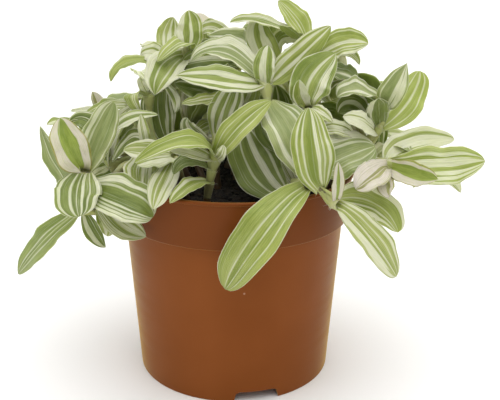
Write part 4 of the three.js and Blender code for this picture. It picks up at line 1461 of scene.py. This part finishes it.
@dataclass(frozen=True)
class ShootRule:
    """How a shoot of the back is laid out: old leaves low and drooping, young ones upright.

    Attributes:
        soil_top: Height at which the shoots leave the soil.
        foot_share: Distance of the foot from the axis, as a share of the tip's.
        foot_limit: Greatest distance of the foot.
        rim_crossing: Distance and height at which a low shoot crosses the rim.
        low_tip: Height of the tip below which a shoot hangs over the rim.
        knee_share: How far up the others are at the middle of the path.
        knee_out: How far out they bulge there.
        first_place: Where on the path the first leaf sits.
        place_range: How far up the path the leaves are spread.
        divergence: Turn from one leaf to the next, in degrees.
        turn_spread: How far that turn varies.
        old_length: Length of the oldest leaf.
        shortening: How much shorter the youngest is.
        length_spread: How far the length varies.
        width_share: Width of the oldest leaf, as a share of its length.
        width_spread: How far that share varies.
        slimming: How much slimmer the youngest is.
        rise: How steeply the youngest stands, in degrees.
        rise_spread: How far that varies.
        droop: How far every leaf droops, in degrees.
        outer_droop: How much farther the oldest one on the outside droops.
        arch: Height of a level leaf's arch, as a share of its length.
        sway: How far back an upright one is bent, as a share of its length.
        cup: How far the sides of the oldest leaf rise.
        young_cup: How much farther those of the youngest do.
        young_from: Youth from which a leaf has a young look.
        old_looks: Looks to draw from for the older leaves.
        young_looks: Looks to draw from for the youngest.
    """

    soil_top: float = 96.0
    foot_share: float = 0.62
    foot_limit: float = 40.0
    rim_crossing: tuple[float, float] = (50.0, 112.0)
    low_tip: float = 112.0
    knee_share: float = 0.55
    knee_out: float = 3.0
    first_place: float = 1.55
    place_range: float = 0.45
    divergence: float = 144.0
    turn_spread: float = 24.0
    old_length: float = 51.0
    shortening: float = 20.0
    length_spread: float = 6.0
    width_share: float = 0.42
    width_spread: float = 0.06
    slimming: float = 0.12
    rise: float = 84.0
    rise_spread: float = 10.0
    droop: float = 14.0
    outer_droop: float = 16.0
    arch: float = 0.13
    sway: float = 0.05
    cup: float = 0.1
    young_cup: float = 0.25
    young_from: float = 0.75
    old_looks: tuple[Look, ...] = (Look.EVEN, Look.BROAD, Look.GREEN, Look.PALE, Look.SHADED, Look.GREY)
    young_looks: tuple[Look, ...] = (Look.PALE, Look.YOUNG, Look.GREEN, Look.PINK)

    def path(self, plan: RuledShoot) -> np.ndarray:
        """Lay out a shoot's path.

        Args:
            plan: What sets the shoot apart.

        Returns:
            Its foot, middle and tip, one a row.
        """
        aim, lean = self.outward(plan.azimuth), self.outward(plan.azimuth + plan.bend)
        foot = aim * min(self.foot_share * plan.out, self.foot_limit) + UP * self.soil_top
        end = lean * plan.out + UP * plan.height
        knee = (foot + end) / 2 + aim * self.knee_out
        knee[2] = self.soil_top + (plan.height - self.soil_top) * self.knee_share
        over_rim = aim * self.rim_crossing[0] + UP * self.rim_crossing[1]
        return np.array([foot, over_rim if plan.height < self.low_tip else knee, end])

    def leaf(self, plan: RuledShoot, path: np.ndarray, k: int) -> Leaf:
        """Lay out one leaf of a shoot.

        Args:
            plan: What sets the shoot apart.
            path: The shoot's path.
            k: Number of the leaf, from the oldest up.

        Returns:
            The leaf.
        """
        youth = k / (plan.places - 1)
        draw = {what: scatter(plan.seed + what.value + k) for what in Draw}
        length = self.old_length - self.shortening * youth
        length = plan.scale * (length + self.length_spread * (draw[Draw.LENGTH] - 0.5))
        jitter = self.turn_spread * (draw[Draw.TURN] - 0.5)
        heading = self.outward(plan.turn + self.divergence * k + jitter)
        outward = heading @ self.outward(plan.azimuth + plan.bend)
        droop = self.droop + self.outer_droop * outward * (1 - youth)
        rise = self.rise * youth**1.3 - droop + self.rise_spread * (draw[Draw.RISE] - 0.5)
        level, steep = math.cos(math.radians(rise)), math.sin(math.radians(rise))
        place = self.first_place + self.place_range * youth
        base = path_point(path, place)
        tip = base + heading * length * level + UP * length * steep
        middle = (base + tip) / 2 - heading * self.sway * length * steep
        middle = middle + UP * self.arch * length * level
        facing = UP * level - heading * steep
        width = (self.width_share + self.width_spread * draw[Draw.WIDTH]) * length
        width *= 1 - self.slimming * youth
        cup = self.cup + self.young_cup * youth
        looks = self.young_looks if youth > self.young_from else self.old_looks
        look = looks[int(draw[Draw.LOOK] * len(looks))]
        return Leaf(place, tuple(middle), tuple(tip), width, tuple(facing), cup, look)

    def shoot(self, plan: RuledShoot) -> Shoot:
        """Lay out a shoot.

        Args:
            plan: What sets the shoot apart.

        Returns:
            Its path and leaves.
        """
        path = self.path(plan)
        leaves = tuple(self.leaf(plan, path, k) for k in range(plan.places) if k not in plan.bare)
        return Shoot(plan.name, tuple(map(tuple, path)), leaves)

    @staticmethod
    def outward(degrees: float) -> np.ndarray:
        """Level direction at an azimuth."""
        return np.array([math.cos(math.radians(degrees)), math.sin(math.radians(degrees)), 0.0])


class Plant:
    """All the leafy stems."""

    def __init__(self) -> None:
        """Make the materials that the stems share."""
        self.stem_material = StemFinish().material()
        self.hair_material = HairFinish().material()
        self.leaf_materials: dict[tuple, bpy.types.Material] = {}

    def leaf_material(self, leaf: Leaf) -> bpy.types.Material:
        """Find or make the material of a leaf.

        Args:
            leaf: The leaf.

        Returns:
            Its material, which leaves of the same look and stripes share.
        """
        key = (leaf.look, leaf.bands)
        if key not in self.leaf_materials:
            name = f"leaf {leaf.look.value} {len(self.leaf_materials)}"
            self.leaf_materials[key] = LEAF_FINISHES[leaf.look].material(name, leaf.bands)
        return self.leaf_materials[key]

    def build(self) -> list[bpy.types.Object]:
        """Grow every stem.

        Returns:
            The pieces, one for each node.
        """
        grower, rule = LeafyStem(), ShootRule()
        pieces = []
        for shoot in LAID_SHOOTS + tuple(rule.shoot(plan) for plan in RULED_SHOOTS):
            piece = grower.grow(shoot, self.stem_material, self.hair_material, self.leaf_material)
            log.info("grew %s with %d leaves", piece.name, len(shoot.leaves))
            pieces.append(piece)
        return pieces


# ---------------------------------------------------------------- pot and soil


@dataclass(frozen=True)
class Pot:
    """Moulded nursery pot.

    Attributes:
        height: Its height.
        rim_radius: Outer radius of the lip.
        lip_height: Height of the lip.
        lip_width: How far the lip stands out.
        collar_radius: Outer radius of the collar's lower edge.
        collar_z: Height of that edge.
        body_radius: Outer radius of the body under the collar.
        body_top: Height of the body's top.
        foot_radius: Outer radius of the foot ring.
        wall: Wall thickness.
        foot_wall: Thickness of the foot ring.
        inner_step: How far over and under the collar's edge the inside steps.
        base_underside: Height of the base plate's underside.
        base_top: Height of the floor.
        sides: Points round it.
        notches: Notches in the foot ring.
        notch_turn: Azimuth of the first one, in degrees.
        notch_width: Width of a notch.
        notch_height: Height of a notch.
        notch_slant: How far its sides lean in.
        notch_reach: How far its cutter reaches from the ring's outside, inwards and outwards.
        cut_margin: How far a cutter stands out of what it cuts.
        drain_holes: Holes in the base plate.
        drain_radius: Radius of a hole.
        drain_circle: Radius of the circle that they lie on.
        drain_sides: Points round a hole.
        hub: Radius of the flat disc that closes the base plate's middle.
        crease: Angle in degrees from which an edge is sharp.
    """

    height: float = 105.0
    rim_radius: float = 60.0
    lip_height: float = 1.6
    lip_width: float = 0.8
    collar_radius: float = 57.8
    collar_z: float = 82.0
    body_radius: float = 55.2
    body_top: float = 81.0
    foot_radius: float = 49.5
    wall: float = 1.6
    foot_wall: float = 2.2
    inner_step: float = 2.0
    base_underside: float = 5.6
    base_top: float = 7.2
    sides: int = 192
    notches: int = 3
    notch_turn: float = -77.0
    notch_width: float = 23.0
    notch_height: float = 5.3
    notch_slant: float = 2.2
    notch_reach: tuple[float, float] = (-6.0, 4.0)
    cut_margin: float = 1.0
    drain_holes: int = 6
    drain_radius: float = 4.0
    drain_circle: float = 30.0
    drain_sides: int = 32
    hub: float = 1.0
    crease: float = 38.0

    def body_inside(self, z: float) -> float:
        """Inside radius of the body's wall at a height."""
        return self.foot_radius - self.wall + (self.body_radius - self.foot_radius) * z / self.body_top

    def collar_inside(self, z: float) -> float:
        """Inside radius of the collar's wall at a height."""
        top, spread = self.height - self.lip_height, self.rim_radius - self.lip_width - self.collar_radius
        return self.collar_radius - self.wall + spread / (top - self.collar_z) * (z - self.collar_z)

    def corners(self) -> list[Point]:
        """List the corners of the wall's section.

        Returns:
            Radius, height and rounding of each corner, from the foot up the outside and down the inside.
        """
        collar_top = self.height - self.lip_height
        collar_edge = self.rim_radius - self.lip_width
        over, under = self.collar_z + self.inner_step, self.collar_z - self.inner_step
        foot_inside = self.foot_radius - self.foot_wall
        return [
            (self.foot_radius, 0.0, 0.5),
            (self.body_radius, self.body_top, 0.6),
            (self.collar_radius, self.collar_z, 0.7),
            (collar_edge, collar_top, 0.3),
            (self.rim_radius, collar_top + 0.25, 0.35),
            (self.rim_radius, self.height, 0.6),
            (self.collar_inside(self.height), self.height, 0.6),
            (self.collar_inside(over), over, 0.8),
            (self.body_inside(under), under, 0.8),
            (self.body_inside(self.base_top), self.base_top, 1.0),
            (self.hub, self.base_top, 0.0),
            (self.hub, self.base_underside, 0.0),
            (foot_inside, self.base_underside, 0.6),
            (foot_inside, 0.0, 0.4),
        ]

    def section(self, arc_steps: int = 4) -> list[tuple[float, float]]:
        """Round the corners of the wall's section.

        Args:
            arc_steps: Points of each rounded corner, less one.

        Returns:
            Radius and height of each point, closed from the last back to the first.
        """
        corners = self.corners()
        points = []
        for i, (r, z, rounding) in enumerate(corners):
            here = np.array([r, z])
            before = np.array(corners[i - 1][:2])
            after = np.array(corners[(i + 1) % len(corners)][:2])
            if rounding == 0.0:
                points.append((r, z))
                continue
            reach_in = min(rounding, 0.45 * float(np.linalg.norm(before - here)))
            reach_out = min(rounding, 0.45 * float(np.linalg.norm(after - here)))
            start, end = here + unit(before - here) * reach_in, here + unit(after - here) * reach_out
            for t in np.linspace(0, 1, arc_steps + 1):
                point = (1 - t) ** 2 * start + 2 * t * (1 - t) * here + t**2 * end
                points.append((float(point[0]), float(point[1])))
        return points

    def add_rows(self, points: list[tuple[float, float]], step: float = 4.0) -> list[tuple[float, float]]:
        """Divide the long straight stretches of a section.

        Args:
            points: The section.
            step: Longest stretch left.

        Returns:
            The section with more points.
        """
        fine = []
        for (r0, z0), (r1, z1) in zip(points, points[1:] + points[:1]):
            pieces = max(1, int(math.hypot(r1 - r0, z1 - z0) / step))
            fine += [(r0 + (r1 - r0) * k / pieces, z0 + (z1 - z0) * k / pieces) for k in range(pieces)]
        return fine

    def add_notch(self, maker: MeshMaker, angle: float) -> None:
        """Model what cuts one notch of the foot ring.

        Args:
            maker: The cutters' mesh.
            angle: Azimuth of the notch.
        """
        out = np.array([math.cos(angle), math.sin(angle), 0])
        side = np.array([-math.sin(angle), math.cos(angle), 0])
        half, top, slant = self.notch_width / 2, self.notch_height, self.notch_slant
        right = [(half, -self.cut_margin), (half - 0.6 * slant, top - 0.8), (half - 1.5 * slant, top)]
        outline = [(-half, -self.cut_margin)] + right + [(-a, b) for a, b in reversed(right[1:])]
        reaches = [self.foot_radius + reach for reach in self.notch_reach]
        points = np.array([out * reach + side * a + UP * b for reach in reaches for a, b in outline])
        maker.add(points, tube_faces(2, len(outline)))

    def add_drain(self, maker: MeshMaker, angle: float) -> None:
        """Model what cuts one drain hole.

        Args:
            maker: The cutters' mesh.
            angle: Azimuth of the hole.
        """
        centre = self.drain_circle * np.array([math.cos(angle), math.sin(angle), 0])
        low = np.array(ring(self.drain_radius, self.base_underside - self.cut_margin, self.drain_sides))
        high = np.array(ring(self.drain_radius, self.base_top + self.cut_margin, self.drain_sides))
        maker.add(np.concatenate([centre + low, centre + high]), tube_faces(2, self.drain_sides))

    def cut(self, pot: bpy.types.Object) -> None:
        """Cut the foot ring's notches and the drain holes.

        Args:
            pot: The turned pot.
        """
        maker = MeshMaker()
        for i in range(self.notches):
            self.add_notch(maker, math.radians(self.notch_turn + i * 360 / self.notches))
        for i in range(self.drain_holes):
            self.add_drain(maker, (i + 0.5) * 2 * math.pi / self.drain_holes)
        cutter = maker.make("pot_cutter", [])
        cut = pot.modifiers.new("cut", "BOOLEAN")
        cut.object = cutter
        cut.operation = "DIFFERENCE"
        cut.solver = "EXACT"
        cut.use_self = True
        graph = bpy.context.evaluated_depsgraph_get()
        mesh = bpy.data.meshes.new_from_object(pot.evaluated_get(graph))
        pot.modifiers.clear()
        pot.data = mesh
        mesh.set_sharp_from_angle(angle=math.radians(self.crease))
        bpy.data.objects.remove(cutter)

    def build(self) -> bpy.types.Object:
        """Turn the pot, cut it and give it its finish.

        Returns:
            The piece.
        """
        section = self.add_rows(self.section())
        rows = len(section)
        hub_rows = [r for r, point in enumerate(section) if point[0] == self.hub]
        faces = []
        for r in range(rows):
            if r == hub_rows[0]:
                continue
            here, above = r * self.sides, (r + 1) % rows * self.sides
            for c in range(self.sides):
                d = (c + 1) % self.sides
                faces.append((here + c, here + d, above + d, above + c))
        first, last = (row * self.sides for row in hub_rows)
        faces.append(tuple(range(first, first + self.sides)))
        faces.append(tuple(reversed(range(last, last + self.sides))))
        maker = MeshMaker()
        maker.add(np.concatenate([ring(r, z, self.sides) for r, z in section]), faces)
        pot = maker.make("pot_moulded", [PotFinish().material()])
        self.cut(pot)
        attach(pot, "pot_plastic", "pot")
        log.info("turned %s with %d faces", pot.name, len(pot.data.polygons))
        return pot


@dataclass(frozen=True)
class Soil:
    """Peat that fills the pot, with a crumbly top.

    Attributes:
        top: Height of its top.
        clear: Gap to the pot.
        relief: Height of its low bumps.
        roughness: Height of its crumbly lumps.
        middle: Radius of the small discs that close it at the axis.
        rings: Rings of points on the top.
        sides: Points round it.
        crumbs: Loose lumps on it.
        crumb_edge: How far the loose lumps keep from the pot.
        crumb_size: Radius of the smallest.
        crumb_range: How much larger the largest is.
        crumb_roughness: How uneven they are, as a share of the radius.
    """

    top: float = 95.0
    clear: float = 0.3
    relief: float = 0.9
    roughness: float = 0.9
    middle: float = 0.02
    rings: int = 70
    sides: int = 220
    crumbs: int = 420
    crumb_edge: float = 2.5
    crumb_size: float = 0.5
    crumb_range: float = 1.3
    crumb_roughness: float = 0.55

    def height(self, x: float, y: float) -> float:
        """Height of the top.

        Args:
            x: Place to the right.
            y: Place to the back.

        Returns:
            The height.
        """
        bump = math.sin(x * 0.31) * math.cos(y * 0.27) + 0.5 * math.sin(x * 0.5 + y * 0.6)
        crumb = noise.fractal(Vector((x * 0.45, y * 0.45, 3.7)), 1.0, 2.0, 4)
        return self.top + self.relief * bump + self.roughness * crumb

    def add_crumb(self, maker: MeshMaker, k: int, reach: float) -> None:
        """Add one loose lump.

        Args:
            maker: The mesh.
            k: Its number.
            reach: Radius that it stays within.
        """
        far = reach * math.sqrt(scatter(k + 0.1))
        turn = 2 * math.pi * scatter(k + 0.2)
        x, y = far * math.cos(turn), far * math.sin(turn)
        size = self.crumb_size + self.crumb_range * scatter(k + 0.3) ** 2
        shape = bmesh.new()
        bmesh.ops.create_icosphere(shape, subdivisions=2, radius=size)
        points = np.array([v.co[:] for v in shape.verts])
        faces = [tuple(v.index for v in face.verts) for face in shape.faces]
        shape.free()
        rough = np.array([noise.noise(Vector(p * 1.1 / size) + Vector((k * 3.1, 0, 0))) for p in points])
        points = points * (1 + self.crumb_roughness * rough[:, None])
        points = points * np.array([1.0, 0.8 + 0.5 * scatter(k + 0.4), 0.7])
        maker.add(points + np.array([x, y, self.height(x, y) + 0.15 * size]), faces)

    def build(self, pot: Pot) -> bpy.types.Object:
        """Fill the pot.

        Args:
            pot: The pot, for the sizes of its inside.

        Returns:
            The piece.
        """
        reach = pot.collar_inside(self.top) - self.clear
        low, high = pot.collar_z - pot.inner_step, pot.collar_z + pot.inner_step
        profile = (
            (self.middle, pot.base_top + self.clear),
            (pot.body_inside(pot.base_top) - self.clear, pot.base_top + self.clear),
            (pot.body_inside(low) - self.clear, low),
            (pot.collar_inside(high) - self.clear, high + self.clear),
            (reach, self.top - 1.2),
        )
        rows = [ring(r, z, self.sides) for r, z in profile]
        for i in range(self.rings, -1, -1):
            level = ring(max(self.middle, (reach - 0.1) * i / self.rings), 0.0, self.sides)
            rows.append([(x, y, self.height(x, y)) for x, y, _ in level])
        maker = MeshMaker()
        maker.add(np.concatenate(rows), tube_faces(len(rows), self.sides))
        for k in range(self.crumbs):
            self.add_crumb(maker, k, reach - self.crumb_edge)
        soil = maker.make("peat_fill", [SoilFinish().material()])
        attach(soil, "soil", "soil")
        log.info("filled %s, with %d crumbs on the top", soil.name, self.crumbs)
        return soil


# ---------------------------------------------------------------- studio


@dataclass(frozen=True)
class Studio:
    """Pale floor, soft light, and the camera at the photo's angle.

    Attributes:
        camera_place: Where the camera stands.
        pitch: How far it looks down, in degrees.
        focal_length: In millimetres, on a sensor 36 mm wide.
        shift: Sideways and upward shift of the picture.
        sky: Strength of the even light from the back and the sides.
        front_sky: Its strength from the front.
        front_range: How far back a direction points where that light starts to grow, and is full.
        skyline: How far up a direction points where the full light from below starts to fade, and ends.
        lights: Name, place and strength in watts a square metre of each light.
        light_spread: How wide the lights are, in degrees.
        floor_radii: Radii of the floor's rings, in millimetres.
        floor_sides: Points round it.
    """

    camera_place: Point = (0.0003, -0.401, 0.218)
    pitch: float = 18.14
    focal_length: float = 59.4
    shift: tuple[float, float] = (0.0308, 0.0024)
    sky: float = 1.0
    front_sky: float = 0.45
    front_range: tuple[float, float] = (-1.0, 0.3)
    skyline: tuple[float, float] = (0.04, 0.10)
    lights: tuple[tuple[str, Point, float], ...] = (
        ("overhead", (0.05, -0.25, 1.0), 1.65),
        ("back", (0.4, 0.9, 0.8), 0.35),
    )
    light_spread: float = 75.0
    floor_radii: tuple[float, ...] = (1.0, 400.0, 1200.0, 3000.0, 9000.0)
    floor_sides: int = 96

    def add_camera(self) -> None:
        """Add the camera and make it the scene's."""
        data = bpy.data.cameras.new("camera")
        data.lens = self.focal_length
        data.sensor_width = 36.0
        data.shift_x, data.shift_y = self.shift
        data.clip_start = 0.01
        camera = bpy.data.objects.new("camera", data)
        camera.location = self.camera_place
        camera.rotation_euler = (math.radians(90 - self.pitch), 0.0, 0.0)
        bpy.context.scene.collection.objects.link(camera)
        bpy.context.scene.camera = camera

    def add_light(self, name: str, place: Point, strength: float) -> None:
        """Add a wide soft light that looks at the plant.

        Args:
            name: Its name.
            place: Where it comes from.
            strength: Its strength in watts a square metre.
        """
        data = bpy.data.lights.new(name, "SUN")
        data.angle = math.radians(self.light_spread)
        data.energy = strength
        light = bpy.data.objects.new(name, data)
        light.location = place
        light.rotation_euler = (-Vector(place)).to_track_quat("-Z", "Y").to_euler()
        bpy.context.scene.collection.objects.link(light)

    def add_world(self) -> None:
        """Light everything evenly from all round, a little less from the front."""
        world = bpy.data.worlds.new("studio")
        world.use_nodes = True
        tree = world.node_tree
        direction = tree.nodes.new("ShaderNodeTexCoord").outputs["Generated"]
        split = tree.nodes.new("ShaderNodeSeparateXYZ")
        tree.links.new(direction, split.inputs[0])
        brighter = tree.nodes.new("ShaderNodeMath")
        brighter.operation = "MAXIMUM"
        strengths = ((1, self.front_range, self.front_sky, self.sky), (2, self.skyline, self.sky, 0.0))
        for i, (axis, ends, low, high) in enumerate(strengths):
            fade = tree.nodes.new("ShaderNodeMapRange")
            for socket, value in zip(fade.inputs[1:5], (*ends, low, high)):
                socket.default_value = value
            tree.links.new(split.outputs[axis], fade.inputs[0])
            tree.links.new(fade.outputs[0], brighter.inputs[i])
        background = tree.nodes["Background"]
        background.inputs[0].default_value = (1.0, 1.0, 1.0, 1.0)
        tree.links.new(brighter.outputs[0], background.inputs[1])
        bpy.context.scene.world = world

    def add_floor(self) -> None:
        """Add the floor."""
        faces = grid_faces(len(self.floor_radii), self.floor_sides, closed=True)
        faces = [tuple(reversed(face)) for face in faces] + [tuple(range(self.floor_sides))]
        maker = MeshMaker()
        maker.add(np.concatenate([ring(r, 0.0, self.floor_sides) for r in self.floor_radii]), faces)
        s = Shader("pale floor")
        cloud = s.noise(s.position(), 6.0, 2.0)
        colour = s.mix(s.ramp(cloud, 0.3, 0.7), linear(250, 250, 248), linear(246, 246, 244))
        floor = maker.make("floor", [s.finish(colour, 0.7, s.bump(cloud, 0.05, 0.0005))])

    def build(self) -> None:
        """Set up the studio."""
        self.add_camera()
        self.add_floor()
        for light in self.lights:
            self.add_light(*light)
        self.add_world()
        bpy.context.scene.view_settings.view_transform = "Standard"


def main() -> None:
    """Build the scene in order."""
    Studio().build()
    pot = Pot()
    pot.build()
    Soil().build(pot)
    Plant().build()
    log.info("wrote the sizes")


if __name__ == "__main__":
    main()
